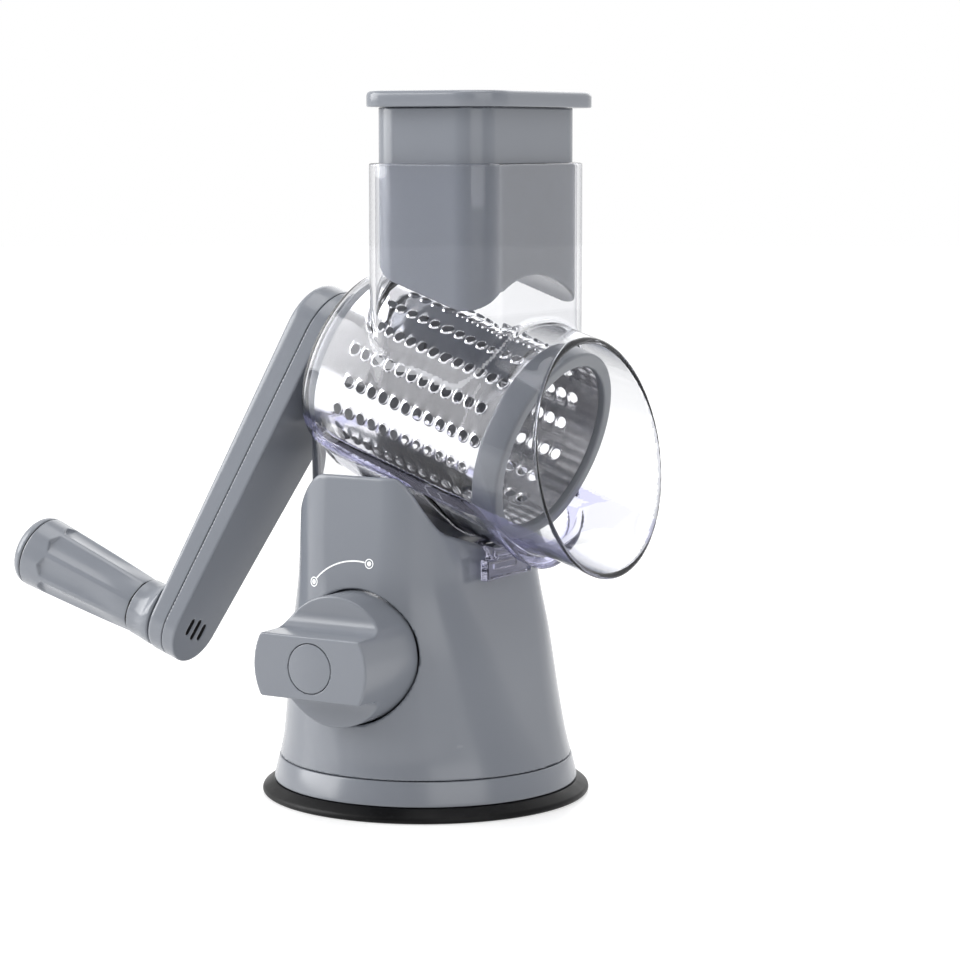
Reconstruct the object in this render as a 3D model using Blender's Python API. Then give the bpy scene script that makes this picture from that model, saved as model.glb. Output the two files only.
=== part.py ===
# Drum grater: a hand cranked rotary kitchen grater on a suction base.
#
# Frame: origin at the centre of the rubber foot's underside, +Z up, the drum's
# axis in the XZ plane pointing down toward the outlet at +X, the suction knob
# on the -Y side and the crank behind the barrel at -X.
# Lengths below are millimetres; MM turns them into metres.

import bpy
import bmesh
from math import sin, cos, tan, pi, radians, sqrt, hypot, atan2
from mathutils import Matrix, Vector

MM = 0.001

# ---------------------------------------------------------------- dimensions
GAP = 0.3                    # air between separate pieces that touch

# base
PAD_R = 66.0                 # rubber foot
PAD_H = 5.2
RING_R_LO, RING_R_HI = 61.0, 59.0
RING_Z0, RING_Z1 = 5.5, 15.0
SHELL_Z0 = 15.3
SHELL_WALL = 2.6
PANEL_TOP = 131.5            # top of the raised side panels
PANEL_DROP = 22.0            # drop round the front corners
SILL_DROP = 9.0              # further drop along the front wall
REAR_DROP = 16.0
TOP_CX = -2.8                # the upper body sits a little to the rear

# suction knob
KNOB_Z = 61.7
KNOB_R = 25.6
HOLE_R = 26.3
KNOB_BACK_Y = -46.0
KNOB_DISC_Y = -67.0
KNOB_FACE_Y = -83.8
KNOB_BAR_H = 12.6            # half height of the bar
CAP_R = 9.5
SHAFT_R = 5.0
PIN_THROW = 5.0
PIN_R = 2.5
PIN_REST = radians(210.0)

# drum axis: P0 on the body's centre line, tilted down toward the outlet
TILT = radians(19.5)
AXIS_Z = 162.6

# barrel and outlet, measured along (s) and square to (b) the drum axis
BARREL_S0 = -34.6
BARREL_WALL = 2.2
HOOD_S = 44.0
RIM_C = (83.5, 4.0)          # centre of the outlet rim in (s, b)
RIM_V = (-0.4704, 0.8825)    # its long direction in (s, b)
RIM_A, RIM_B = 50.0, 47.0    # half width and half height of the rim
HOOD_LIFT = 0.21             # the outlet's floor rises faster just past the drum
RAIL_B = -24.0
RAIL_H = 4.2

# hopper and pusher
CH_CX, CH_HX, CH_HY, CH_R = 24.3, 28.9, 44.0, 15.0
CH_TOP = 252.0
CH_WALL = 2.6
PU_CX, PU_HX, PU_HY, PU_R = 24.2, 25.4, 40.0, 11.8
PU_RAISE = 21.5              # how far the pusher stands above its seat
LID_CX, LID_HX, LID_HY, LID_H = 27.1, 29.6, 45.7, 6.0
LID_R, LID_RR = 16.0, 10.5      # front and rear corners

# drum
DRUM_R = 35.5
DRUM_WALL = 0.8
DRUM_S0, DRUM_S1 = -27.0, 60.0
HUB_R = 34.4
RIM_R = 39.6
RIM_S0, RIM_S1 = 52.0, 63.4
STEM_R = 12.5
BUSH_R = 16.3
SOCKET_R = 8.4
HOLE_COLS = 18
HOLE_ROWS = 7

# crank
ARM_S0, ARM_S1 = -41.0, -55.5
ARM_SPLIT = -48.0
ARM_L = 127.0
ARM_ANG = radians(-112.0)
ARM_R1, ARM_R2 = 22.0, 15.0
ARM_TAPER, ARM_BEND = 0.007, 22.0
ARM_SWELL = 3.3                # extra thickness at the hub end, on the rear
GRIP_L = 129.4
GRIP_S0, GRIP_S1 = -68.7, -123.4
GRIP_R0, GRIP_R1 = 11.5, 14.9
AXLE_R = 3.2


# -------------------------------------------------------------- small helpers
def clear_scene():
    for ob in list(bpy.data.objects):
        bpy.data.objects.remove(ob, do_unlink=True)


def material(name, rgb, rough, metal=0.0, alpha=1.0):
    m = bpy.data.materials.new(name)
    m.use_nodes = True
    b = m.node_tree.nodes["Principled BSDF"]
    b.inputs["Base Color"].default_value = (rgb[0], rgb[1], rgb[2], 1.0)
    b.inputs["Roughness"].default_value = rough
    b.inputs["Metallic"].default_value = metal
    b.inputs["Alpha"].default_value = alpha
    m.diffuse_color = (rgb[0], rgb[1], rgb[2], 1.0)
    return m


def empty(name, loc=(0, 0, 0), rot=(0, 0, 0), parent=None):
    e = bpy.data.objects.new(name, None)
    e.empty_display_size = 0.01
    e.location = [v * MM for v in loc]
    e.rotation_euler = rot
    e.parent = parent
    bpy.context.scene.collection.objects.link(e)
    return e


def add_object(name, verts, faces, mat=None, parent=None, guide=False, sharp=35.0):
    me = bpy.data.meshes.new(name)
    me.from_pydata([(x * MM, y * MM, z * MM) for x, y, z in verts], [], faces)
    bm = bmesh.new()
    bm.from_mesh(me)
    bmesh.ops.remove_doubles(bm, verts=bm.verts, dist=1e-6)
    bmesh.ops.recalc_face_normals(bm, faces=bm.faces)
    bm.to_mesh(me)
    bm.free()
    ob = bpy.data.objects.new(name, me)
    bpy.context.scene.collection.objects.link(ob)
    ob.parent = parent
    if mat is not None:
        me.materials.append(mat)
    me.shade_smooth()
    me.set_sharp_from_angle(angle=radians(sharp))
    if guide:
        ob.hide_render = True
        ob.display_type = 'WIRE'
    return ob


def boolean(ob, other, operation):
    m = ob.modifiers.new(other.name, 'BOOLEAN')
    m.operation = operation
    m.object = other
    m.solver = 'EXACT'
    return m


def bevel(ob, width, segments=2, angle=35.0):
    m = ob.modifiers.new("edge_round", 'BEVEL')
    m.width = width * MM
    m.segments = segments
    m.limit_method = 'ANGLE'
    m.angle_limit = radians(angle)
    return m


def loft(rings, closed=False, caps=True):
    """Skin a list of equal rings; closed joins the last ring to the first."""
    n = len(rings[0])
    m = len(rings)
    verts = [p for r in rings for p in r]
    faces = []
    for i in range(m if closed else m - 1):
        a, b = i * n, ((i + 1) % m) * n
        for j in range(n):
            k = (j + 1) % n
            faces.append((a + j, a + k, b + k, b + j))
    if not closed and caps:
        faces.append(tuple(range(n - 1, -1, -1)))
        faces.append(tuple((m - 1) * n + j for j in range(n)))
    return verts, faces


def lathe(profile, seg, along='Z', phase=0.0):
    """Turn a closed (radius, height) outline about an axis."""
    verts, idx = [], []
    for r, h in profile:
        if r < 1e-6:
            idx.append([len(verts)] * seg)
            verts.append((0.0, 0.0, h))
        else:
            s = len(verts)
            for j in range(seg):
                a = phase + 2 * pi * j / seg
                verts.append((r * cos(a), r * sin(a), h))
            idx.append([s + j for j in range(seg)])
    faces = []
    m = len(profile)
    for i in range(m):
        p, q = idx[i], idx[(i + 1) % m]
        for j in range(seg):
            k = (j + 1) % seg
            f = []
            for v in (p[j], p[k], q[k], q[j]):
                if v not in f:
                    f.append(v)
            if len(f) > 2:
                faces.append(tuple(f))
    if along == 'X':
        verts = [(h, x, y) for x, y, h in verts]
    elif along == 'Y':
        verts = [(y, h, x) for x, y, h in verts]
    return verts, faces


def prism(outline, h0, h1, along='Z'):
    """Extrude a flat outline between two heights."""
    lo = [(x, y, h0) for x, y in outline]
    hi = [(x, y, h1) for x, y in outline]
    verts, faces = loft([lo, hi])
    if along == 'X':
        verts = [(h, x, y) for x, y, h in verts]
    elif along == 'Y':
        verts = [(x, h, y) for x, y, h in verts]
    return verts, faces


def rrect(cx, cy, hx, hy, r_front, n, flat=0, r_rear=None):
    """Rounded rectangle, n points on each corner, flat more on each side."""
    pts = []
    corners = ((1, -1, -90), (1, 1, 0), (-1, 1, 90), (-1, -1, 180))
    for sx, sy, a0 in corners:
        r = r_rear if r_rear is not None and sx < 0 else r_front
        for k in range(n):
            a = radians(a0 + 90.0 * k / (n - 1))
            pts.append((cx + sx * (hx - r) + r * cos(a),
                        cy + sy * (hy - r) + r * sin(a)))
        if flat:
            p = pts[-1]
            nx, ny, na = corners[(corners.index((sx, sy, a0)) + 1) % 4]
            a = radians(na)
            q = (cx + nx * (hx - r) + r * cos(a), cy + ny * (hy - r) + r * sin(a))
            for k in range(1, flat + 1):
                t = k / (flat + 1)
                pts.append((p[0] + (q[0] - p[0]) * t, p[1] + (q[1] - p[1]) * t))
    return pts


def smooth(t):
    t = min(1.0, max(0.0, t))
    return t * t * (3 - 2 * t)


def table(rows, x):
    """Read a value off a short table of (x, values...) rows, eased between them."""
    if x <= rows[0][0]:
        return rows[0][1:]
    for lo, hi in zip(rows, rows[1:]):
        if x <= hi[0]:
            t = (x - lo[0]) / (hi[0] - lo[0])
            return tuple(a + (b - a) * t for a, b in zip(lo[1:], hi[1:]))
    return rows[-1][1:]


# ------------------------------------------------------------------ base body
# height, half depth in X, half width in Y, corner radius, centre in X
BODY = ((15.0, 58.8, 58.8, 58.7, 0.0),
        (22.0, 56.0, 57.9, 55.4, -0.2),
        (32.0, 52.2, 57.2, 50.0, -0.6),
        (61.7, 44.6, 55.0, 39.0, -1.8),
        (93.0, 35.9, 50.6, 25.0, -2.8),
        (115.0, 34.8, 48.9, 22.6, -2.8),
        (131.5, 34.1, 47.8, 22.0, -2.8))


def body_section(z, inset, n, flat):
    hx, hy, r, cx = table(BODY, z)
    r = max(2.0, r - inset)
    return rrect(cx, 0.0, hx - inset, hy - inset, r, n, flat)


def wall_top(x, y):
    """Height of the base's top edge: side panels, front sill and rear edge."""
    r = 22.0
    xf, xr, yc = 11.2, -16.8, 26.0
    ay = abs(y)
    if x > xf:
        if ay > yc:
            run = r * atan2(x - xf, max(ay - yc, 1e-6))
        else:
            run = r * pi / 2 + (yc - ay)
        return (PANEL_TOP - PANEL_DROP * smooth((run - 3.0) / 24.0)
                - SILL_DROP * min(1.0, max(0.0, (run - 25.0) / 35.0)))
    if x < xr:
        if ay > yc:
            run = r * atan2(xr - x, max(ay - yc, 1e-6))
        else:
            run = r * pi / 2 + (yc - ay)
        return PANEL_TOP - REAR_DROP * smooth((run - 1.0) / 24.0)
    return PANEL_TOP


def base_shell_mesh(n, flat, rows):
    top_o = body_section(126.0, 0.0, n, flat)
    count = len(top_o)
    tops = [wall_top(x, y) for x, y in top_o]
    levels = [0.0, 0.06, 0.145, 0.4, 0.67] + [0.67 + 0.33 * k / rows for k in range(1, rows + 1)]
    outer, inner = [], []
    for v in levels:
        ro, ri = [], []
        for j in range(count):
            z = SHELL_Z0 + v * (tops[j] - SHELL_Z0)
            o = body_section(z, 0.0, n, flat)[j]
            i = body_section(z, SHELL_WALL, n, flat)[j]
            ro.append((o[0], o[1], z))
            ri.append((i[0], i[1], z))
        outer.append(ro)
        inner.append(ri)
    return loft(outer + inner[::-1], closed=True)


# ------------------------------------------------------- barrel, hood, hopper
# s, half width, height above the axis, height below it, roundness above and below
SECTIONS = ((-34.6, 33.6, 33.6, 33.6, 2.0, 2.0),
            (-34.2, 35.6, 35.6, 35.6, 2.0, 2.0),
            (-33.0, 37.3, 37.3, 37.3, 2.0, 2.0),
            (-30.5, 38.9, 38.9, 38.9, 2.0, 2.0),
            (-25.0, 40.6, 40.4, 40.4, 2.04, 2.0),
            (-15.0, 43.0, 42.2, 42.0, 2.15, 2.06),
            (0.0, 45.2, 43.4, 43.2, 2.32, 2.12),
            (20.0, 46.0, 44.0, 43.9, 2.45, 2.12),
            (HOOD_S, 46.2, 44.0, 44.2, 2.4, 2.05))


def super_ring(hw, up, dn, ex_up, ex_dn, n):
    pts = []
    for j in range(n):
        a = 2 * pi * j / n
        c, s = cos(a), sin(a)
        ex = ex_up if s >= 0 else ex_dn
        y = hw * (abs(c) ** (2 / ex)) * (1 if c >= 0 else -1)
        h = up if s >= 0 else dn
        b = h * (abs(s) ** (2 / ex)) * (1 if s >= 0 else -1)
        pts.append((y, b))
    return pts


def barrel_rings(n, inset, hood_steps, s_first=None, past=0.0):
    """Rings in (s, y, b) from the rear wall to the outlet rim."""
    rings = []
    for s, hw, up, dn, ex, low in SECTIONS:
        ring = super_ring(hw - inset, up - inset, dn - inset, ex, low, n)
        rings.append([(s + (inset if s < -26 else 0.0), y, b) for y, b in ring])
    hw, up, dn, ex, low = SECTIONS[-1][1:]
    start = super_ring(hw - inset, up - inset, dn - inset, ex, low, n)
    end = super_ring(RIM_A - inset, RIM_B - inset, RIM_B - inset, 2.0, 2.0, n)
    last = []
    for k in range(1, hood_steps + 1):
        t = k / hood_steps
        ring = []
        for j, ((y0, b0), (y1, v1)) in enumerate(zip(start, end)):
            low = max(0.0, -sin(2 * pi * j / n))
            g = t + HOOD_LIFT * low * sin(pi * min(1.0, max(0.0, 1.5 * t - 0.5))) ** 2
            p0 = (HOOD_S, y0, b0)
            p1 = (RIM_C[0] + RIM_V[0] * v1, y1, RIM_C[1] + RIM_V[1] * v1)
            ring.append((p0[0] + (p1[0] - p0[0]) * t, p0[1] + (p1[1] - p0[1]) * t, p0[2] + (p1[2] - p0[2]) * g))
        rings.append(ring)
        last.append(ring)
    if past > 0.0:
        a, c = rings[-2], rings[-1]
        ring = []
        for p, q in zip(a, c):
            d = hypot(q[0] - p[0], hypot(q[1] - p[1], q[2] - p[2]))
            ring.append(tuple(w + (w - v) * past / d for v, w in zip(p, q)))
        rings.append(ring)
    return rings


def to_world(s, y, b):
    return (s * cos(TILT) + b * sin(TILT), y, AXIS_Z - s * sin(TILT) + b * cos(TILT))


def axis_height(x):
    return AXIS_Z - x * tan(TILT)


def barrel_width(s):
    """Half width of the barrel at a station on its axis."""
    return table(SECTIONS, s)[0]


def rail_height(x, y):
    """The rail runs beside the barrel and dips under it at the front."""
    drop = -RAIL_B
    r = 43.6
    if x > 0 and abs(y) < r:
        drop = max(drop, sqrt(r * r - y * y))
    return axis_height(x) - drop / cos(TILT)


def pan_outline(n, flat, inset, front):
    """Plan of the rail (front=1) or of the skirt inside the base (front=0)."""
    x0 = -34.0 + inset
    x1 = (28.4 + front * 29.2) - inset
    hy = (44.2 - front * 0.6) - inset
    r = 20.0 + front * 3.0 - inset
    return rrect((x0 + x1) / 2, 0.0, (x1 - x0) / 2, hy, r, n, flat)


def pan_rings(n, flat, z_low):
    """Skirt wall up to the rail's underside, then out along it to the rail's edge."""
    lo = pan_outline(n, flat, 0.0, 0.0)
    hi = pan_outline(n, flat, 0.0, 1.0)
    rings = [[(x, y, z_low) for x, y in lo],
             [(x, y, rail_height(x, y) - RAIL_H / 2) for x, y in lo],
             [(x, y, rail_height(x, y) - RAIL_H / 2) for x, y in hi]]
    return rings, hi


def pan_room(n, flat, z_low):
    """The hollow inside the skirt, up to the rail's middle."""
    lo = pan_outline(n, flat, 2.2, 0.0)
    return [[(x, y, z_low) for x, y in lo],
            [(x, y, rail_height(x, y) + 0.3) for x, y in lo],
            [(TOP_CX + (x - TOP_CX) * 0.5, y * 0.5,
              axis_height(TOP_CX + (x - TOP_CX) * 0.5) + (RAIL_B + 0.3) / cos(TILT)) for x, y in lo]]


def pan_top(n, flat, rail):
    """From the rail's top edge up beside the barrel until the barrel covers it."""
    b = -5.0
    up = []
    for x, y in pan_outline(n, flat, 0.5, 1.0):
        x = max(x, -32.6)
        s = (x - b * sin(TILT)) / cos(TILT)
        f = min(1.0, (barrel_width(s) - 1.2) / 44.4)
        up.append((x, y * f, axis_height(x) + b / cos(TILT)))
    cap = [(TOP_CX + (x - TOP_CX) * 0.5, y * 0.5) for x, y, z in up]
    return [[(x, y, rail_height(x, y) + RAIL_H / 2) for x, y in rail], up,
            [(x, y, axis_height(x) + b / cos(TILT)) for x, y in cap]]


def hopper_rings(n, inset, z_top):
    """Rounded rectangle tube from the rim down to a plane inside the barrel."""
    out = rrect(CH_CX, 0.0, CH_HX - inset, CH_HY - inset, CH_R - inset, n)
    depth = 8.0 - inset
    lo = [(x, y, axis_height(x) + depth / cos(TILT)) for x, y in out]
    hi = [(x, y, z_top) for x, y in out]
    return [lo, hi]


def build_housing(parent, mat):
    n, flat = 7, 3
    # skirt and rail
    rings, hi = pan_rings(n, flat, 92.0)
    rings += pan_top(n, flat, hi)
    housing = add_object("drum_housing", *loft(rings), mat=mat, parent=parent)
    skirt_room = add_object("cut_skirt_room", *loft(pan_room(n, flat, 88.0)), parent=parent, guide=True)
    # barrel with hood, and the hopper
    seg = 40
    ring_list = [[to_world(*p) for p in r] for r in barrel_rings(seg, 0.0, 3)]
    barrel = add_object("join_barrel", *loft(ring_list), parent=parent, guide=True)
    ring_list = [[to_world(*p) for p in r] for r in barrel_rings(seg, BARREL_WALL, 3, past=4.0)]
    bore = add_object("cut_barrel_bore", *loft(ring_list), parent=parent, guide=True)
    hopper = add_object("join_hopper", *loft(hopper_rings(6, 0.0, CH_TOP)), parent=parent, guide=True)
    throat = add_object("cut_hopper", *loft(hopper_rings(6, CH_WALL, CH_TOP + 5.0)), parent=parent, guide=True)
    return housing, skirt_room, barrel, bore, hopper, throat


# -------------------------------------------------------------------- outlines
def arm_outline(r1, r2, n):
    """Crank arm seen along the drum axis: two arcs and their tangents."""
    d = (cos(ARM_ANG), sin(ARM_ANG))
    q = (-d[1], d[0])
    al = (r1 - r2) / ARM_L
    pts = []
    for k in range(n + 1):
        a = pi / 2 - al + (pi + 2 * al) * k / n
        pts.append((r1 * (d[0] * cos(a) + q[0] * sin(a)), r1 * (d[1] * cos(a) + q[1] * sin(a))))
    for k in range(n + 1):
        a = -pi / 2 - al + (pi - 2 * al) * 0.0 + (pi + 2 * al) * 0.0 + (pi - 0.0) * k / n
        a = -(pi / 2 - al) + (pi - 2 * al) * k / n
        pts.append((d[0] * ARM_L + r2 * (d[0] * cos(a) + q[0] * sin(a)),
                    d[1] * ARM_L + r2 * (d[1] * cos(a) + q[1] * sin(a))))
    return pts


def tray(outline_at, s_open, s_floor, s_round, wall, floor, n):
    """Shallow shell: open at s_open, closed at s_floor, edge rounded by s_round."""
    sg = 1.0 if s_floor > s_open else -1.0
    o0 = outline_at(0.0)
    o1 = outline_at(s_round * 0.3)
    o2 = outline_at(s_round)
    i0 = outline_at(wall)
    i1 = outline_at(wall + s_round * 0.4)
    rings = [[(s_open, y, b) for y, b in i0],
             [(s_open, y, b) for y, b in o0],
             [(s_floor - sg * s_round, y, b) for y, b in o0],
             [(s_floor - sg * s_round * 0.3, y, b) for y, b in o1],
             [(s_floor, y, b) for y, b in o2]]
    verts, faces = loft(rings, caps=False)
    m = len(o0)
    faces.append(tuple(4 * m + j for j in range(m)))
    base = len(verts)
    verts += [(s_floor - sg * floor, y, b) for y, b in i1]
    for j in range(m):
        k = (j + 1) % m
        faces.append((j, k, base + k, base + j))
    faces.append(tuple(base + j for j in range(m)))
    return verts, faces


def perforated_drum(cols, rows, r, wall, s0, s1):
    """Steel grating cylinder with staggered rows of square-cut openings."""
    seg = cols * 2
    cuts = [s0]
    pitch = (s1 - 8.5 - (s0 + 5.0)) / (rows * 2 - 1)
    for k in range(rows * 2):
        cuts.append(s0 + 5.0 + pitch * k)
    cuts.append(s1)
    verts, faces = [], []
    grid = {}
    for side, rad in enumerate((r, r - wall)):
        for i, s in enumerate(cuts):
            for j in range(seg):
                a = 2 * pi * j / seg
                grid[side, i, j] = len(verts)
                verts.append((s, rad * cos(a), rad * sin(a)))
    m = len(cuts)
    open_cell = set()
    for i in range(1, m - 2):
        for j in range(seg):
            if i % 2 == 1 and j % 2 == (i // 2) % 2:
                open_cell.add((i, j))
    for i in range(m - 1):
        for j in range(seg):
            k = (j + 1) % seg
            if (i, j) in open_cell:
                edges = (((i, j), (i, k)), ((i, k), (i + 1, k)), ((i + 1, k), (i + 1, j)), ((i + 1, j), (i, j)))
                for p, q in edges:
                    faces.append((grid[0, p[0], p[1]], grid[0, q[0], q[1]],
                                  grid[1, q[0], q[1]], grid[1, p[0], p[1]]))
            else:
                for side in (0, 1):
                    faces.append((grid[side, i, j], grid[side, i, k],
                                  grid[side, i + 1, k], grid[side, i + 1, j]))
    for i in (0, m - 1):
        for j in range(seg):
            k = (j + 1) % seg
            faces.append((grid[0, i, j], grid[0, i, k], grid[1, i, k], grid[1, i, j]))
    return verts, faces


def coil(r, wire, z0, z1, turns, per_turn, sides):
    """Compression spring with flat-cut ends."""
    rings = []
    total = int(turns * per_turn)
    for k in range(total + 1):
        t = k / total
        a = 2 * pi * turns * t
        z = z0 + wire + (z1 - z0 - 2 * wire) * t
        ring = []
        for j in range(sides):
            q = 2 * pi * j / sides
            rr = r + wire * cos(q)
            ring.append((rr * cos(a), rr * sin(a), z + wire * sin(q)))
        rings.append(ring)
    return loft(rings)


def star_outline(r, depth, lobes, n):
    pts = []
    for k in range(lobes * n):
        a = 2 * pi * k / (lobes * n)
        f = 0.5 + 0.5 * cos(lobes * a)
        pts.append(((r - depth * (1 - smooth(f * 1.4 - 0.2))) * cos(a),
                    (r - depth * (1 - smooth(f * 1.4 - 0.2))) * sin(a)))
    return pts


def screw_profile(head_r, head_h, r, length):
    """Pan head screw pointing along +h, head top at h = 0."""
    return [(0, 0), (head_r * 0.75, 0), (head_r, head_h * 0.45), (head_r, head_h),
            (r, head_h), (r, length - 1.2), (0, length)]


def flip(mesh, h0, sign=1.0, along='Z', at=(0.0, 0.0)):
    """Put a lathe along Z on another line: height becomes h0 + sign * h."""
    verts, faces = mesh
    out = []
    for x, y, h in verts:
        v = h0 + sign * h
        if along == 'Z':
            out.append((x + at[0], y + at[1], v))
        elif along == 'X':
            out.append((v, x + at[0], y + at[1]))
        else:
            out.append((x + at[0], v, y + at[1]))
    return out, faces


# ====================================================================== build
clear_scene()

GREY = material("grey_plastic", (0.145, 0.155, 0.172), 0.32)
GREY_DARK = material("dark_grey_plastic", (0.10, 0.105, 0.115), 0.4)
RUBBER = material("black_rubber", (0.012, 0.012, 0.013), 0.55)
CLEAR = material("clear_plastic", (0.86, 0.88, 0.93), 0.06, alpha=0.35)
STEEL = material("polished_steel", (0.62, 0.62, 0.63), 0.16, metal=1.0)
ZINC = material("zinc_plated_steel", (0.50, 0.50, 0.50), 0.3, metal=1.0)
BRASS = material("bearing_plastic", (0.72, 0.72, 0.70), 0.35)

base = empty("base_frame")

# --- rubber foot
pad_profile = [(0, 0), (PAD_R - 0.5, 0), (PAD_R, 0.8), (PAD_R - 0.4, 2.4), (61.8, PAD_H),
               (52.0, PAD_H), (48.0, 3.2), (0, 3.2)]
add_object("suction_pad", *lathe(pad_profile, 48), mat=RUBBER, parent=base)

# --- base plate: ring band outside, raised deck inside
plate_profile = [(RING_R_LO, RING_Z0), (RING_R_LO, RING_Z0 + 1.0), (RING_R_HI, RING_Z1),
                 (RING_R_HI - 2.4, RING_Z1), (RING_R_LO - 2.6, RING_Z0 + 2.6),
                 (44.6, RING_Z0 + 2.6), (42.6, 14.4), (9.0, 14.4), (9.0, 12.0),
                 (40.2, 12.0), (42.2, RING_Z0)]
base_plate = add_object("base_plate", *lathe(plate_profile, 48), mat=GREY, parent=base)

SCREW_R = 52.4
screw_sites = [(SCREW_R * cos(radians(a)), SCREW_R * sin(radians(a))) for a in (45, 135, 225, 315)]
for k, (x, y) in enumerate(screw_sites):
    c = add_object("cut_plate_hole_%d" % (k + 1), *flip(lathe([(0, 0), (1.8, 0), (1.8, 8), (0, 8)], 12), 4.0, at=(x, y)),
                   parent=base, guide=True)
    boolean(base_plate, c, 'DIFFERENCE')

# --- base shell
shell = add_object("base_shell", *base_shell_mesh(7, 3, 3), mat=GREY, parent=base)
knob_hole = add_object("cut_knob_hole",
                       *flip(lathe([(0, 0), (HOLE_R, 0), (HOLE_R, 30), (0, 30)], 32), -72.0, along='Y', at=(0, KNOB_Z)),
                       parent=base, guide=True)
boolean(shell, knob_hole, 'DIFFERENCE')
for k, (x, y) in enumerate(screw_sites):
    boss = add_object("join_boss_%d" % (k + 1),
                      *flip(lathe([(0, 0), (3.7, 0), (3.7, 19), (0, 19)], 12), 8.6, at=(x, y)), parent=base, guide=True)
    boolean(shell, boss, 'UNION')
    c = add_object("cut_boss_%d" % (k + 1),
                   *flip(lathe([(0, 0), (1.8, 0), (1.8, 15), (0, 15)], 12), 7.6, at=(x, y)), parent=base, guide=True)
    boolean(shell, c, 'DIFFERENCE')
    add_object("base_screw_%d" % (k + 1),
               *flip(lathe([(0, 0), (1.2, 0), (1.4, 0.6), (1.4, 12.5), (0, 13.6)], 12), 5.75, at=(x, y)),
               mat=ZINC, parent=base)

# --- bracket above the deck, carrying the cam shaft
side = [(-24, 14.7), (-12, 14.7), (-12, 38.0), (12, 38.0), (12, 14.7), (24, 14.7), (24, 17.2),
        (16, 17.2), (16, 41.0), (-12, 41.0), (-12, 74.0), (-16, 74.0), (-16, 17.2), (-24, 17.2)]
bracket = add_object("cam_bracket", *prism(side, -15.0, 15.0, along='X'), mat=GREY_DARK, parent=base)
c = add_object("cut_bracket_bearing", *flip(lathe([(0, 0), (SHAFT_R + 0.3, 0), (SHAFT_R + 0.3, 8), (0, 8)], 20),
                                            -18.0, along='Y', at=(0, KNOB_Z)), parent=base, guide=True)
boolean(bracket, c, 'DIFFERENCE')
c = add_object("cut_bracket_guide", *flip(lathe([(0, 0), (4.5, 0), (4.5, 8), (0, 8)], 20), 36.0), parent=base, guide=True)
boolean(bracket, c, 'DIFFERENCE')
for k, y in enumerate((-20.2, 20.2)):
    c = add_object("cut_bracket_screw_%d" % (k + 1), *flip(lathe([(0, 0), (1.8, 0), (1.8, 10), (0, 10)], 12), 13.0, at=(0, y)),
                   parent=base, guide=True)
    boolean(bracket, c, 'DIFFERENCE')
    c = add_object("cut_deck_screw_%d" % (k + 1), *flip(lathe([(0, 0), (1.8, 0), (1.8, 10), (0, 10)], 12, phase=0.11), 9.0, at=(0, y)),
                   parent=base, guide=True)
    boolean(base_plate, c, 'DIFFERENCE')
    add_object("bracket_screw_%d" % (k + 1),
               *flip(lathe(screw_profile(3.1, 1.8, 1.4, 6.4), 12), 19.3, sign=-1.0, at=(0, y)), mat=ZINC, parent=base)
add_object("return_spring", *coil(6.2, 0.55, 22.2, 37.7, 4.5, 12, 6), mat=ZINC, parent=base)

# --- plunger: disc over the pad, stem, spring collar and slotted head
plunger_axis = empty("plunger_axis", (0, 0, 3.5), parent=base)
pz = 3.5
pl_profile = [(0, 0), (24.0, 0), (24.0, 1.4), (20.0, 2.2), (4.0, 2.8), (4.0, 16.2), (8.0, 16.2),
              (8.0, 18.2), (4.0, 18.2), (4.0, 50.0), (0, 50.0)]
plunger = add_object("plunger", *lathe(pl_profile, 24), mat=GREY_DARK, parent=plunger_axis)
head = add_object("join_plunger_head", *prism([(-9.0, 44.0), (6.0, 44.0), (6.0, 56.0), (2.0, 64.5),
                                               (-12.0, 64.5), (-12.0, 48.0)], -2.0, 2.0, along='Y'),
                  parent=plunger_axis, guide=True)
boolean(plunger, head, 'UNION')
slot_z = KNOB_Z + PIN_THROW * sin(PIN_REST) - pz
slot = add_object("cut_plunger_slot", *prism(rrect(-4.7, slot_z, 3.9, PIN_R + 0.45, PIN_R + 0.4, 4), -4.0, 4.0, along='Y'),
                  parent=plunger_axis, guide=True)
boolean(plunger, slot, 'DIFFERENCE')

# --- suction knob with its cap, screw, shaft and eccentric pin
knob_axis = empty("knob_axis", (0, 0, KNOB_Z), parent=base)
disc = [(0, KNOB_BACK_Y), (KNOB_R - 1.5, KNOB_BACK_Y), (KNOB_R, KNOB_BACK_Y - 1.5), (KNOB_R, KNOB_DISC_Y + 1.6),
        (KNOB_R - 1.6, KNOB_DISC_Y), (0, KNOB_DISC_Y)]
knob = add_object("lock_knob", *lathe(disc, 32, along='Y'), mat=GREY, parent=knob_axis)
half = KNOB_BAR_H


def bar_outline(r, h, n):
    pts = []
    a0 = atan2(h, sqrt(r * r - h * h))
    for k in range(n + 1):
        a = -a0 + 2 * a0 * k / n
        pts.append((r * cos(a), r * sin(a)))
    for k in range(n + 1):
        a = pi - a0 + 2 * a0 * k / n
        pts.append((r * cos(a), r * sin(a)))
    return pts


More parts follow.
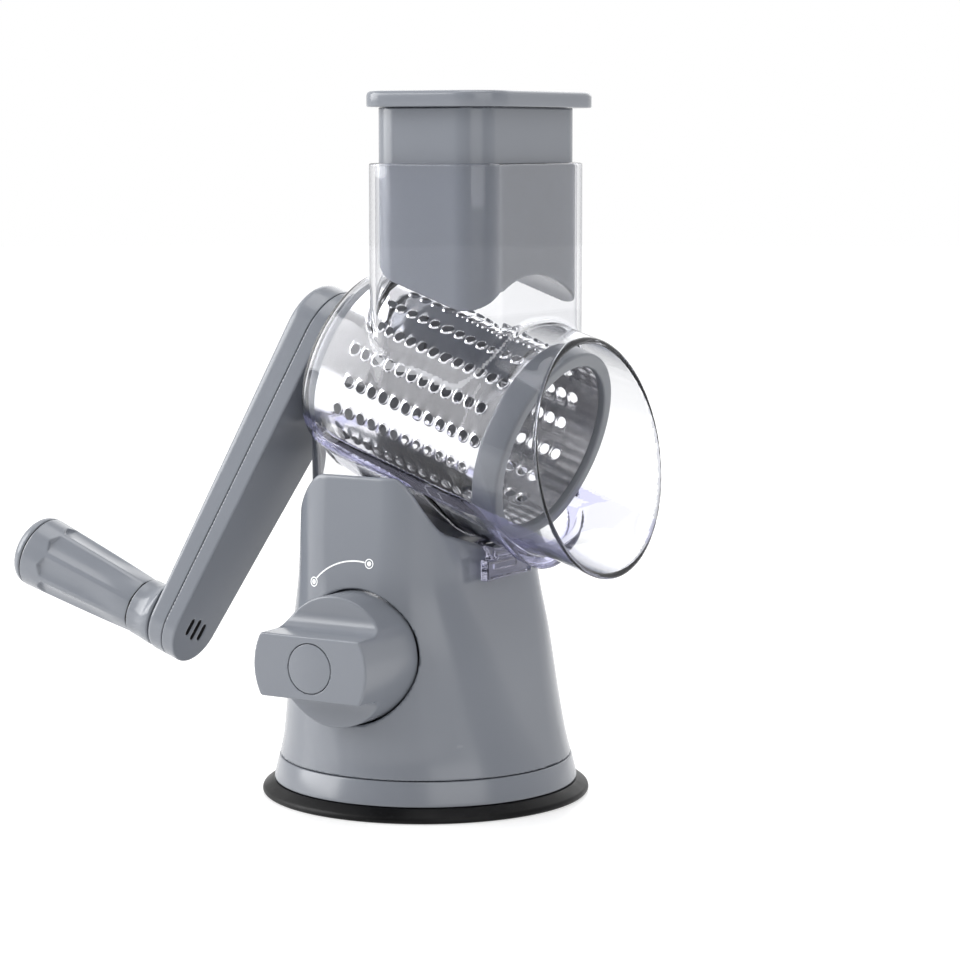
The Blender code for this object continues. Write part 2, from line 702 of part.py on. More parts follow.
rings = []
for y, g, h in ((KNOB_DISC_Y + 1.0, 0.0, half + 2.4), (KNOB_DISC_Y, 0.0, half + 2.4), (KNOB_DISC_Y - 2.4, 0.0, half),
                (KNOB_FACE_Y + 1.2, 0.0, half), (KNOB_FACE_Y, 1.2, half - 1.2)):
    rings.append([(x, y, z) for x, z in bar_outline(KNOB_R - g, h, 6)])
bar = add_object("join_knob_bar", *loft(rings), parent=knob_axis, guide=True)
boolean(knob, bar, 'UNION')
c = add_object("cut_knob_core", *lathe([(0, -40.0), (SHAFT_R + 0.3, -40.0), (SHAFT_R + 0.3, -76.0), (1.8, -76.0),
                                        (1.8, -79.0), (4.6, -79.0), (4.6, KNOB_FACE_Y + 2.0), (CAP_R + 0.3, KNOB_FACE_Y + 2.0),
                                        (CAP_R + 0.3, KNOB_FACE_Y - 2.0), (0, KNOB_FACE_Y - 2.0)], 24, along='Y'),
               parent=knob_axis, guide=True)
boolean(knob, c, 'DIFFERENCE')
add_object("knob_cap", *lathe([(0, KNOB_FACE_Y + 1.7), (CAP_R, KNOB_FACE_Y + 1.7), (CAP_R, KNOB_FACE_Y + 0.3),
                               (CAP_R - 0.3, KNOB_FACE_Y), (0, KNOB_FACE_Y)], 32, along='Y'), mat=GREY, parent=knob_axis)
add_object("knob_screw", *lathe([(0, -80.9), (3.6, -80.9), (3.6, -79.3), (1.4, -79.3), (1.4, -68.5), (0, -67.5)], 12, along='Y'),
           mat=ZINC, parent=knob_axis)
shaft = add_object("cam_shaft", *lathe([(0, -75.7), (SHAFT_R, -75.7), (SHAFT_R, -9.0), (9.0, -9.0), (9.0, -5.0), (0, -5.0)], 20, along='Y'),
                   mat=ZINC, parent=knob_axis)
pin = add_object("join_cam_pin", *flip(lathe([(0, 0), (PIN_R, 0), (PIN_R, 13), (0, 13)], 14), -8.0, along='Y',
                                       at=(PIN_THROW * cos(PIN_REST), PIN_THROW * sin(PIN_REST))), parent=knob_axis, guide=True)
boolean(shaft, pin, 'UNION')
c = add_object("cut_shaft_screw", *lathe([(0, -77.0), (1.7, -77.0), (1.7, -66.0), (0, -65.0)], 12, along='Y'),
               parent=knob_axis, guide=True)
boolean(shaft, c, 'DIFFERENCE')

# --- clear housing
feeder = empty("feeder_frame", parent=base)
housing, skirt_room, barrel, bore, hopper, throat = build_housing(feeder, CLEAR)
drum_axis = empty("drum_axis", (0, 0, AXIS_Z), (0, TILT, 0), parent=feeder)
bush_hole = add_object("cut_bush_hole", *lathe([(0, -40.0), (BUSH_R + 0.3, -40.0), (BUSH_R + 0.3, -28.0), (0, -28.0)], 24, along='X'),
                       parent=drum_axis, guide=True)
boolean(housing, skirt_room, 'DIFFERENCE')
boolean(housing, barrel, 'UNION')
boolean(housing, hopper, 'UNION')
boolean(housing, bore, 'DIFFERENCE')
boolean(housing, throat, 'DIFFERENCE')
boolean(housing, bush_hole, 'DIFFERENCE')

# --- release tab on its hinge line under the outlet
TAB_X, TAB_Z = 36.2, 100.0
tab_axis = empty("tab_axis", (TAB_X, 0, TAB_Z), parent=feeder)
tab_side = [(-0.4, -2.0), (-0.4, -10.6), (3.4, -10.6), (3.4, -2.6), (2.0, -2.0)]
tab = add_object("release_tab", *prism(tab_side, -17.2, 17.2, along='Y'), mat=CLEAR, parent=tab_axis)
neck_edge = [(-13.0, -3.0), (13.0, -3.0)]
for k in range(7):
    y = 13.0 - 26.0 * k / 6
    neck_edge.append((y, rail_height(TAB_X + 1.6, y) - RAIL_H / 2 - 0.6 - TAB_Z))
neck = add_object("join_tab_neck", *prism(neck_edge, -0.4, 1.6, along='X'), parent=tab_axis, guide=True)
hook = add_object("join_tab_rib", *prism([(-1.8, -4.6), (0.0, -4.1), (0.0, -7.2), (-1.8, -6.4)], -8.4, 8.4, along='Y'),
                  parent=tab_axis, guide=True)
boolean(tab, neck, 'UNION')
boolean(tab, hook, 'UNION')
bevel(tab, 0.5, 2, 50)

# --- drum: bush, hub, grating, rim
spin = empty("spin_axis", parent=drum_axis)
bush_profile = [(STEM_R + 0.3, -36.6), (BUSH_R + 2.2, -36.6), (BUSH_R + 2.2, -34.9), (BUSH_R, -34.9), (BUSH_R, -31.4),
                (STEM_R + 0.3, -31.4)]
add_object("drum_bush", *lathe(bush_profile, 24, along='X'), mat=BRASS, parent=spin)
hub_profile = [(0, -24.0), (DRUM_R - DRUM_WALL - 0.5, -24.0), (DRUM_R - DRUM_WALL - 0.5, -27.3), (HUB_R, -27.3), (HUB_R, -30.6),
               (HUB_R - 1.2, -31.6), (24.0, -31.6), (23.0, -30.9), (STEM_R, -30.9), (STEM_R, -40.2), (0, -40.2)]
hub = add_object("drum_hub", *lathe(hub_profile, 36, along='X'), mat=GREY, parent=spin)
socket = add_object("cut_hub_socket", *prism(star_outline(SOCKET_R, 1.6, 6, 6), -45.0, -26.4, along='X'), parent=spin, guide=True)
boolean(hub, socket, 'DIFFERENCE')
grating = perforated_drum(HOLE_COLS, HOLE_ROWS, DRUM_R, DRUM_WALL, DRUM_S0, DRUM_S1)
add_object("drum_shell", *grating, mat=STEEL, parent=spin)
rim_profile = [(RIM_R, RIM_S0), (RIM_R, RIM_S1 - 0.8), (RIM_R - 0.8, RIM_S1), (DRUM_R - 0.6, RIM_S1), (DRUM_R - 1.4, RIM_S1 - 0.8),
               (DRUM_R - 1.4, DRUM_S1 + 0.4), (DRUM_R + 0.4, DRUM_S1 + 0.4), (DRUM_R + 0.4, RIM_S0), (RIM_R - 0.8, RIM_S0)]
rim_profile[0] = (RIM_R, RIM_S0 + 0.8)
add_object("drum_rim", *lathe(rim_profile, 40, along='X'), mat=GREY, parent=spin)

# --- crank
crank = empty("crank_axis", parent=drum_axis)
GY, GB = GRIP_L * cos(ARM_ANG), GRIP_L * sin(ARM_ANG)


def arm_at(inset):
    return arm_outline(ARM_R1 - inset, ARM_R2 - inset, 8)


def thin(s, y, b):
    """The front half gets thinner toward the grip, so that it passes behind the lid."""
    reach = max(0.0, y * cos(ARM_ANG) + b * sin(ARM_ANG) - ARM_BEND)
    depth = (s - ARM_SPLIT - GAP / 2) / (ARM_S0 - ARM_SPLIT - GAP / 2)
    return (s - ARM_TAPER * reach * depth, y, b)


def swell(s, y, b):
    """The rear half gets thicker toward the hub."""
    reach = y * cos(ARM_ANG) + b * sin(ARM_ANG)
    depth = (s - ARM_SPLIT + GAP / 2) / (ARM_S1 - ARM_SPLIT + GAP / 2)
    return (s - ARM_SWELL * max(0.0, 1.0 - reach / ARM_L) * depth, y, b)


arm_mesh = tray(arm_at, ARM_SPLIT - GAP / 2, ARM_S1, 3.0, 2.2, 2.2, 8)
arm = add_object("crank_arm", [swell(*v) for v in arm_mesh[0]], arm_mesh[1], mat=GREY, parent=crank)
cover_mesh = tray(arm_at, ARM_SPLIT + GAP / 2, ARM_S0, 0.8, 2.2, 2.0, 8)
cover = add_object("crank_cover", [thin(*v) for v in cover_mesh[0]], cover_mesh[1], mat=GREY, parent=crank)
for k in range(3):
    off = (k - 1) * 4.2
    d = Vector((cos(ARM_ANG), sin(ARM_ANG)))
    q = Vector((-d.y, d.x))
    mid = d * (ARM_L + 1.0) + q * off
    ends = (4.6, 5.4, 4.6)[k]
    pts = []
    for u, v in ((-ends, -0.95), (ends, -0.95), (ends, 0.95), (-ends, 0.95)):
        p = mid + d * u + q * v
        pts.append((p.x, p.y))
    c = add_object("cut_arm_slot_%d" % (k + 1), *prism(pts, ARM_S0 - 5.6, ARM_S0 + 2.0, along='X'), parent=crank, guide=True)
    boolean(cover, c, 'DIFFERENCE')
neck_hole = add_object("cut_cover_neck", *lathe([(0, ARM_S0 - 5), (9.4, ARM_S0 - 5), (9.4, ARM_S0 + 3), (0, ARM_S0 + 3)], 24, along='X'),
                       parent=crank, guide=True)
boolean(cover, neck_hole, 'DIFFERENCE')

# spigot: flange inside the arm, six-lobed drive into the hub
plug = add_object("crank_plug", *lathe([(0, -46.6), (17.0, -46.6), (17.0, ARM_S0 - 2.9), (9.0, ARM_S0 - 2.9), (9.0, -40.6), (0, -40.6)],
                                       24, along='X'), mat=GREY_DARK, parent=crank)
drive = add_object("join_plug_drive", *prism(star_outline(SOCKET_R - 0.35, 1.6, 6, 6), -42.0, -27.2, along='X'), parent=crank, guide=True)
boolean(plug, drive, 'UNION')
for k, sgn in enumerate((-1, 1)):
    y, b = 13.2 * sgn * -sin(ARM_ANG), 13.2 * sgn * cos(ARM_ANG)
    c = add_object("cut_plug_screw_%d" % (k + 1), *flip(lathe([(0, 0), (1.7, 0), (1.7, 9), (0, 9)], 12), -48.0, along='X', at=(y, b)),
                   parent=crank, guide=True)
    boolean(plug, c, 'DIFFERENCE')
    c = add_object("cut_cover_screw_%d" % (k + 1), *flip(lathe([(0, 0), (1.7, 0), (1.7, 3.2), (0, 3.2)], 12), -45.0, along='X', at=(y, b)),
                   parent=crank, guide=True)
    boolean(cover, c, 'DIFFERENCE')
    add_object("crank_screw_%d" % (k + 1), *flip(lathe(screw_profile(3.0, 1.6, 1.35, 6.6), 12), -48.5, along='X', at=(y, b)),
               mat=ZINC, parent=crank)

# collar on the arm, axle, fluted grip, cap
collar = add_object("grip_collar", *flip(lathe([(AXLE_R + 0.3, 0), (12.5, 0), (12.2, 3.0), (11.9, 12.1), (AXLE_R + 0.3, 12.1)], 28),
                                         ARM_S1 - 2 * GAP, sign=-1.0, along='X', at=(GY, GB)), mat=GREY, parent=crank)
axle_hole = add_object("cut_arm_axle", *flip(lathe([(0, 0), (AXLE_R + 0.3, 0), (AXLE_R + 0.3, 12), (0, 12)], 16), -62.0, along='X', at=(GY, GB)),
                       parent=crank, guide=True)
boolean(arm, axle_hole, 'DIFFERENCE')
add_object("grip_axle", *flip(lathe([(0, 0), (6.5, 0), (6.5, 2.0), (AXLE_R, 2.0), (AXLE_R, 63.5), (0, 63.5)], 16), -51.0, sign=-1.0,
                              along='X', at=(GY, GB)), mat=ZINC, parent=crank)

grip_axis = empty("grip_axis", (0, GY, GB), parent=crank)


def grip_radius(t):
    return GRIP_R0 + (GRIP_R1 - GRIP_R0) * (t ** 0.85)


def grip_rings(n_around, stations):
    """Fluted handle: eight scoops that run out toward the cap."""
    rings = []
    for t in stations:
        s = GRIP_S0 + (GRIP_S1 - GRIP_S0) * t
        r = grip_radius(t)
        depth = 1.25 * smooth((0.86 - t) / 0.05) * smooth((t + 0.02) / 0.2)
        ring = []
        for j in range(n_around):
            a = 2 * pi * j / n_around
            f = (0.5 + 0.5 * cos(8 * a)) ** 1.5
            rr = r - depth * f
            ring.append((s, rr * cos(a), rr * sin(a)))
        rings.append(ring)
    return rings


outer = grip_rings(32, (0.0, 0.15, 0.4, 0.6, 0.8, 0.87, 1.0))
bore_ring = [[(s, r * cos(2 * pi * j / 32), r * sin(2 * pi * j / 32)) for j in range(32)]
             for s, r in ((GRIP_S1, 9.0), (-114.5, 9.0), (-114.5, AXLE_R + 0.35), (GRIP_S0, AXLE_R + 0.35))]
add_object("grip", *loft(outer + bore_ring, closed=True), mat=GREY, parent=grip_axis)
add_object("grip_washer", *lathe([(2.4, -114.8), (7.4, -114.8), (7.4, -115.8), (2.4, -115.8)], 16, along='X'), mat=ZINC, parent=grip_axis)
axle = bpy.data.objects["grip_axle"]
c = add_object("cut_axle_thread", *flip(lathe([(0, 0), (2.0, 0), (2.0, 14), (0, 14)], 12), -118.0, along='X', at=(GY, GB)), parent=crank, guide=True)
boolean(axle, c, 'DIFFERENCE')
add_object("grip_screw", *lathe([(0, -118.4), (3.6, -118.0), (4.2, -116.9), (4.2, -116.1), (1.7, -116.1), (1.7, -106.0), (0, -105.2)], 12, along='X'),
           mat=ZINC, parent=grip_axis)
cap_profile = [(0, GRIP_S1 - 7.6), (6.5, GRIP_S1 - 7.0), (11.0, GRIP_S1 - 5.2), (13.8, GRIP_S1 - 2.6), (14.7, GRIP_S1 - GAP),
               (8.7, GRIP_S1 - GAP), (8.7, GRIP_S1 + 2.6), (7.2, GRIP_S1 + 2.6), (7.2, GRIP_S1 - 2.0), (0, GRIP_S1 - 2.0)]
add_object("grip_cap", *lathe(cap_profile, 32, along='X'), mat=GREY, parent=grip_axis)

# --- pusher: hollow body with an arched foot, closed by its lid
pusher_axis = empty("pusher_axis", (PU_CX, 0, CH_TOP + PU_RAISE), parent=feeder)
PZ = CH_TOP + PU_RAISE


def foot_height(x, y, up):
    r = 60.0
    return 162.0 + up - x * tan(TILT) + sqrt(r * r - y * y) / cos(TILT) - PZ


outl_o = rrect(0, 0, PU_HX, PU_HY, PU_R, 6, 3)
outl_i = rrect(0, 0, PU_HX - 2.2, PU_HY - 2.2, PU_R - 2.2, 6, 3)
bm_rings = [[(x, y, -GAP) for x, y in outl_i], [(x, y, -GAP) for x, y in outl_o],
            [(x, y, foot_height(x + PU_CX, y, 0.0)) for x, y in outl_o]]


def foot_surface(outline, up):
    """Rows across the foot that follow the arch, joined to the wall's edge."""
    return [(x * f, y * f, foot_height(x * f + PU_CX, y * f, up)) for f in (0.0,) for x, y in outline[:1]]


def arched_cap(verts, faces, ring_start, outline, up, steps=(0.66, 0.33)):
    m = len(outline)
    prev = ring_start
    for f in steps:
        start = len(verts)
        for x, y in outline:
            verts.append((x * f, y * f, foot_height(x * f + PU_CX, y * f, up)))
        for j in range(m):
            k = (j + 1) % m
            faces.append((prev + j, prev + k, start + k, start + j))
        prev = start
    mid = len(verts)
    verts.append((0.0, 0.0, foot_height(PU_CX, 0.0, up)))
    for j in range(m):
        faces.append((prev + j, prev + (j + 1) % m, mid))


verts, faces = loft(bm_rings, caps=False)
m = len(outl_o)
arched_cap(verts, faces, 2 * m, outl_o, 0.0)
start = len(verts)
verts += [(x, y, foot_height(x + PU_CX, y, 2.2)) for x, y in outl_i]
for j in range(m):
    k = (j + 1) % m
    faces.append((j, k, start + k, start + j))
arched_cap(verts, faces, start, outl_i, 2.2)
add_object("pusher_body", verts, faces, mat=GREY, parent=pusher_axis)

lid_rings = []
for z, g in ((0.0, 0.6), (0.8, 0.0), (LID_H - 2.2, 0.0), (LID_H - 0.9, 0.5), (LID_H - 0.2, 1.4), (LID_H, 2.4)):
    lid_rings.append([(x, y, z) for x, y in rrect(LID_CX - PU_CX, 0, LID_HX - g, LID_HY - g, LID_R - g, 6, 0, LID_RR - g)])
plug_o = [(x, y) for x, y in rrect(0, 0, PU_HX - 2.5, PU_HY - 2.5, PU_R - 2.5, 6)]
lid = [[(x, y, -5.0) for x, y in plug_o], [(x, y, 0.0) for x, y in plug_o]] + lid_rings
add_object("pusher_lid", *loft(lid), mat=GREY, parent=pusher_axis)
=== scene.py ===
# Looks of the drum grater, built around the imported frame.
#
# Lengths in this file are millimetres in the object's own frame (origin at the
# centre of the foot's underside, +Z up, outlet at +X, knob at -Y); MM turns them
# into metres when a mesh is made. Smooth moulded shapes are written as distance
# functions and meshed here; turned and lofted ones are built ring by ring.

from math import sin, cos, tan, pi, radians, degrees, sqrt, hypot, atan2
import numpy as np
import bpy
import bmesh
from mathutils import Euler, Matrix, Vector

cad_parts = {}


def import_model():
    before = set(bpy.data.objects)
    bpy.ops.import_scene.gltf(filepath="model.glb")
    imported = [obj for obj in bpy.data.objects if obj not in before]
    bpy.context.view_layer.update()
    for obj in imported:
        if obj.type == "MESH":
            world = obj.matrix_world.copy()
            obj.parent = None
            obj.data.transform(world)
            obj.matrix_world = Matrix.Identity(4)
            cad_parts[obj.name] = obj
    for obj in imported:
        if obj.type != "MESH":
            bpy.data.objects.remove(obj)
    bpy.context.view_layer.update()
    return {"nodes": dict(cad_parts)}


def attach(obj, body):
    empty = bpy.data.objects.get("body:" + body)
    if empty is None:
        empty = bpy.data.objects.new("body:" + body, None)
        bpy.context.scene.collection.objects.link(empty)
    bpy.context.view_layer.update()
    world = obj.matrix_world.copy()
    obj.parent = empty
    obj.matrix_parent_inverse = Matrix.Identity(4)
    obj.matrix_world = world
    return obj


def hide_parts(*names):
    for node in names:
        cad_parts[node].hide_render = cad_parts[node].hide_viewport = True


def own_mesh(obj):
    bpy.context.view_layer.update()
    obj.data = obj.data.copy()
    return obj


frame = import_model()
MM = 0.001

# ------------------------------------------------------------------ dimensions
TILT = radians(19.5)
CT, ST = cos(TILT), sin(TILT)
AXIS_Z = 162.6
SHELL_Z0, SHELL_WALL = 15.3, 2.6
PANEL_TOP, PANEL_DROP, SILL_DROP, REAR_DROP = 131.5, 22.0, 9.0, 16.0
KNOB_Z, KNOB_R, HOLE_R = 61.7, 25.6, 26.3
KNOB_BACK, KNOB_DISC, KNOB_FACE, KNOB_BAR = -46.0, -67.0, -83.8, 12.6
HOOD_S, HOOD_LIFT = 44.0, 0.21
RIM_C, RIM_V, RIM_A, RIM_B = (83.5, 4.0), (-0.4704, 0.8825), 50.0, 47.0
RAIL_B, RAIL_H = -24.0, 4.2
CH_CX, CH_HX, CH_HY, CH_R, CH_TOP = 24.3, 28.9, 44.0, 15.0, 252.0
PU_CX, PU_HX, PU_HY, PU_R, PU_RAISE = 24.2, 25.4, 40.0, 11.8, 21.5
PZ = CH_TOP + PU_RAISE
LID_CX, LID_HX, LID_HY, LID_H = 27.1, 29.6, 45.7, 6.0
LID_R, LID_RR = 16.0, 10.5
DRUM_R, DRUM_WALL, DRUM_S0, DRUM_S1 = 35.5, 0.8, -27.0, 60.0
HUB_R, RIM_R, RIM_S0, RIM_S1 = 34.4, 39.6, 52.0, 63.4
STEM_R, BUSH_R = 12.5, 16.3
ARM_S0, ARM_SPLIT, ARM_S1, ARM_L = -41.0, -48.0, -55.5, 127.0
ARM_ANG = radians(-112.0)
ARM_R1, ARM_R2, ARM_TAPER, ARM_BEND, ARM_SWELL, GRIP_L = 22.0, 15.0, 0.007, 22.0, 3.3, 129.4
GAP = 0.3
GY, GB = GRIP_L * cos(ARM_ANG), GRIP_L * sin(ARM_ANG)
GRIP_S0, GRIP_S1, GRIP_R0, GRIP_R1, AXLE_R = -68.7, -123.4, 11.5, 14.9, 3.2
FINE = 1.0


# ------------------------------------------------------------------- materials
def shader(name, rgb, rough, metal=0.0):
    m = bpy.data.materials.new(name)
    m.use_nodes = True
    nt = m.node_tree
    b = nt.nodes["Principled BSDF"]
    b.inputs["Base Color"].default_value = (rgb[0], rgb[1], rgb[2], 1.0)
    b.inputs["Roughness"].default_value = rough
    b.inputs["Metallic"].default_value = metal
    m.diffuse_color = (rgb[0], rgb[1], rgb[2], 1.0)
    return m, nt, b


def noise(nt, co, scale, detail=3.0, rough=0.5):
    n = nt.nodes.new("ShaderNodeTexNoise")
    n.inputs["Scale"].default_value = scale
    n.inputs["Detail"].default_value = detail
    n.inputs["Roughness"].default_value = rough
    nt.links.new(co, n.inputs["Vector"])
    return n.outputs["Fac"]


def spread(nt, fac, lo, hi, a=0.3, b=0.7):
    r = nt.nodes.new("ShaderNodeMapRange")
    r.inputs["From Min"].default_value = a
    r.inputs["From Max"].default_value = b
    r.inputs["To Min"].default_value = lo
    r.inputs["To Max"].default_value = hi
    nt.links.new(fac, r.inputs["Value"])
    return r.outputs["Result"]


def blend_colour(nt, fac, c1, c2):
    m = nt.nodes.new("ShaderNodeMix")
    m.data_type = 'RGBA'
    m.inputs["A"].default_value = (*c1, 1.0)
    m.inputs["B"].default_value = (*c2, 1.0)
    nt.links.new(fac, m.inputs["Factor"])
    return m.outputs["Result"]


def bumped(nt, b, height, strength, distance):
    n = nt.nodes.new("ShaderNodeBump")
    n.inputs["Strength"].default_value = strength
    n.inputs["Distance"].default_value = distance
    nt.links.new(height, n.inputs["Height"])
    nt.links.new(n.outputs["Normal"], b.inputs["Normal"])
    return n


def moulded(name, rgb, rough=0.25, grain=0.02, var=0.015):
    """Injection moulded plastic: fine spark texture, faint flow marks."""
    m, nt, b = shader(name, rgb, rough)
    co = nt.nodes.new("ShaderNodeTexCoord").outputs["Object"]
    flow = noise(nt, co, 22.0, 3.0)
    nt.links.new(blend_colour(nt, spread(nt, flow, 0.0, 1.0),
                              tuple(c * (1 - var) for c in rgb), tuple(c * (1 + var) for c in rgb)),
                 b.inputs["Base Color"])
    nt.links.new(spread(nt, noise(nt, co, 70.0, 4.0), rough - 0.012, rough + 0.018), b.inputs["Roughness"])
    bumped(nt, b, noise(nt, co, 1500.0, 2.0), grain, 0.00006)
    b.inputs["IOR"].default_value = 1.52
    return m


def clear(name, rgb, shade, edge, haze=0.0):
    """Clear polished plastic; lamps are let through by the shadow test."""
    m, nt, b = shader(name, rgb, 0.02)
    b.inputs["Transmission Weight"].default_value = 1.0
    b.inputs["IOR"].default_value = 1.45
    b.inputs["Specular Tint"].default_value = (0.4, 0.4, 0.42, 1.0)
    co = nt.nodes.new("ShaderNodeTexCoord").outputs["Object"]
    nt.links.new(spread(nt, noise(nt, co, 30.0, 3.0), 0.010, 0.035), b.inputs["Roughness"])
    # painted shade: towards grazing view angles the colour turns to the edge colour, a painted dark outline on the
    # clear walls
    face = nt.nodes.new("ShaderNodeLayerWeight")
    face.inputs["Blend"].default_value = 0.5
    tint = blend_colour(nt, spread(nt, noise(nt, co, 14.0, 2.0), 0.0, 1.0), tuple(c * 0.985 for c in rgb), rgb)
    grazing_shade_mix = nt.nodes.new("ShaderNodeMix")
    grazing_shade_mix.data_type = 'RGBA'
    nt.links.new(spread(nt, face.outputs["Facing"], 0.0, 1.0, 0.42, 0.88), grazing_shade_mix.inputs["Factor"])
    nt.links.new(tint, grazing_shade_mix.inputs["A"])
    grazing_shade_mix.inputs["B"].default_value = (*edge, 1.0)
    nt.links.new(grazing_shade_mix.outputs["Result"], b.inputs["Base Color"])
    bumped(nt, b, noise(nt, co, 45.0, 1.0), 0.02, 0.0003)
    out = nt.nodes["Material Output"]
    path = nt.nodes.new("ShaderNodeLightPath")
    thru = nt.nodes.new("ShaderNodeBsdfTransparent")
    thru.inputs["Color"].default_value = (*shade, 1.0)
    mix = nt.nodes.new("ShaderNodeMixShader")
    nt.links.new(path.outputs["Is Shadow Ray"], mix.inputs["Fac"])
    body = b.outputs["BSDF"]
    if haze:
        milk = nt.nodes.new("ShaderNodeBsdfDiffuse")
        nt.links.new(grazing_shade_mix.outputs["Result"], milk.inputs["Color"])
        blend = nt.nodes.new("ShaderNodeMixShader")
        blend.inputs["Fac"].default_value = haze
        nt.links.new(body, blend.inputs[1])
        nt.links.new(milk.outputs["BSDF"], blend.inputs[2])
        body = blend.outputs["Shader"]
    nt.links.new(body, mix.inputs[1])
    nt.links.new(thru.outputs["BSDF"], mix.inputs[2])
    nt.links.new(mix.outputs["Shader"], out.inputs["Surface"])
    return m


def metal(name, rgb, rough, lines, depth, turn=0.0, stretch=(1.0, 0.02, 0.02)):
    """Bright metal with fine finishing lines across its own long direction."""
    m, nt, b = shader(name, rgb, rough, 1.0)
    co = nt.nodes.new("ShaderNodeTexCoord").outputs["Object"]
    mp = nt.nodes.new("ShaderNodeMapping")
    mp.inputs["Rotation"].default_value = (0.0, turn, 0.0)
    mp.inputs["Scale"].default_value = stretch
    nt.links.new(co, mp.inputs["Vector"])
    fine = noise(nt, mp.outputs["Vector"], lines, 4.0, 0.6)
    broad = noise(nt, co, 40.0, 3.0)
    nt.links.new(spread(nt, broad, rough - 0.03, rough + 0.05), b.inputs["Roughness"])
    nt.links.new(blend_colour(nt, spread(nt, fine, 0.0, 1.0), tuple(c * 0.93 for c in rgb), rgb), b.inputs["Base Color"])
    bumped(nt, b, fine, depth, 0.00004)
    return m


def rubbery(name, rgb):
    m, nt, b = shader(name, rgb, 0.42)
    b.inputs["Specular IOR Level"].default_value = 0.16
    co = nt.nodes.new("ShaderNodeTexCoord").outputs["Object"]
    v = nt.nodes.new("ShaderNodeTexVoronoi")
    v.inputs["Scale"].default_value = 900.0
    nt.links.new(co, v.inputs["Vector"])
    nt.links.new(spread(nt, noise(nt, co, 60.0, 5.0), 0.34, 0.52), b.inputs["Roughness"])
    nt.links.new(blend_colour(nt, spread(nt, noise(nt, co, 600.0, 2.0), 0.0, 1.0, 0.62, 0.8),
                              rgb, tuple(c * 2.0 + 0.004 for c in rgb)), b.inputs["Base Color"])
    bumped(nt, b, v.outputs["Distance"], 0.12, 0.00008)
    return m


GREY = moulded("grey_abs", (0.168, 0.181, 0.206), 0.22)
GREY_IN = moulded("grey_abs_hub", (0.135, 0.145, 0.162), 0.3)
DARK = moulded("dark_moulding", (0.075, 0.080, 0.088), 0.42, 0.2)
# painted shade: flat black laid on faces inside seams and slots, where only shade falls
PAINTED_GAP_SHADE = moulded("painted_slot_shade", (0.006, 0.006, 0.007), 0.6, 0.1)
BEARING = moulded("acetal", (0.66, 0.66, 0.63), 0.38, 0.1, 0.02)
PRINT = moulded("white_print", (0.86, 0.87, 0.88), 0.4, 0.15, 0.015)
RUBBER = rubbery("black_rubber", (0.0025, 0.0025, 0.003))
# the last colour given to each clear material is its painted dark shade at grazing angles
CLEAR = clear("clear_as", (0.948, 0.951, 0.964), (0.945, 0.948, 0.97), (0.09, 0.10, 0.135))
CLEAR_RAIL = clear("clear_rail", (0.66, 0.66, 0.86), (0.74, 0.74, 0.86), (0.16, 0.16, 0.34), 0.09)
CLEAR_HOOD = clear("clear_spout", (0.875, 0.88, 0.895), (0.88, 0.885, 0.92), (0.10, 0.11, 0.14))
# painted shade: darker clear for the outlet rim and the hopper's top edge, a painted dark rim line
CLEAR_RIM_SHADE = clear("clear_rim_painted_shade", (0.42, 0.43, 0.48), (0.70, 0.71, 0.75), (0.05, 0.05, 0.07), 0.03)
# painted shade: darker, milky clear along the crease where the hopper meets the barrel, a painted line on that fillet
CLEAR_FILLET_SHADE = clear("clear_fillet_painted_shade", (0.86, 0.87, 0.90), (0.86, 0.865, 0.89), (0.34, 0.35, 0.40), 0.28)
CLEAR_TAB = clear("clear_tab", (0.56, 0.56, 0.70), (0.70, 0.70, 0.80), (0.05, 0.05, 0.09), 0.03)
STEEL = metal("polished_sheet", (0.80, 0.80, 0.82), 0.13, 900.0, 0.25, turn=TILT)
ZINC = metal("zinc_plate", (0.62, 0.62, 0.60), 0.27, 500.0, 0.3, stretch=(1.0, 1.0, 1.0))


# --------------------------------------------------------------- mesh helpers
def finish_mesh(me, mat, sharp):
    me.materials.append(mat)
    me.shade_smooth()
    if sharp is not None:
        me.set_sharp_from_angle(angle=radians(sharp))


def add_object(name, verts, faces, mat, sharp=32.0, merge=1e-6):
    me = bpy.data.meshes.new(name)
    me.from_pydata([(x * MM, y * MM, z * MM) for x, y, z in verts], [], faces)
    bm = bmesh.new()
    bm.from_mesh(me)
    bmesh.ops.remove_doubles(bm, verts=bm.verts, dist=merge)
    bmesh.ops.recalc_face_normals(bm, faces=bm.faces)
    bm.to_mesh(me)
    bm.free()
    ob = bpy.data.objects.new(name, me)
    bpy.context.scene.collection.objects.link(ob)
    finish_mesh(me, mat, sharp)
    return ob


def array_mesh(name, verts, quads, mat, normals=None, sharp=None):
    me = bpy.data.meshes.new(name)
    me.vertices.add(len(verts))
    me.vertices.foreach_set("co", (verts * MM).astype(np.float32).ravel())
    me.loops.add(len(quads) * 4)
    me.loops.foreach_set("vertex_index", quads.astype(np.int32).ravel())
    me.polygons.add(len(quads))
    me.polygons.foreach_set("loop_start", np.arange(len(quads), dtype=np.int32) * 4)
    me.update()
    me.validate()
    ob = bpy.data.objects.new(name, me)
    bpy.context.scene.collection.objects.link(ob)
    finish_mesh(me, mat, sharp)
    if normals is not None:
        me.normals_split_custom_set_from_vertices(normals)
    return ob


def loft(rings, closed=False, caps=True):
    n, m = len(rings[0]), len(rings)
    verts = [p for r in rings for p in r]
    faces = []
    for i in range(m if closed else m - 1):
        a, b = i * n, ((i + 1) % m) * n
        for j in range(n):
            k = (j + 1) % n
            faces.append((a + j, a + k, b + k, b + j))
    if not closed and caps:
        faces.append(tuple(range(n - 1, -1, -1)))
        faces.append(tuple((m - 1) * n + j for j in range(n)))
    return verts, faces


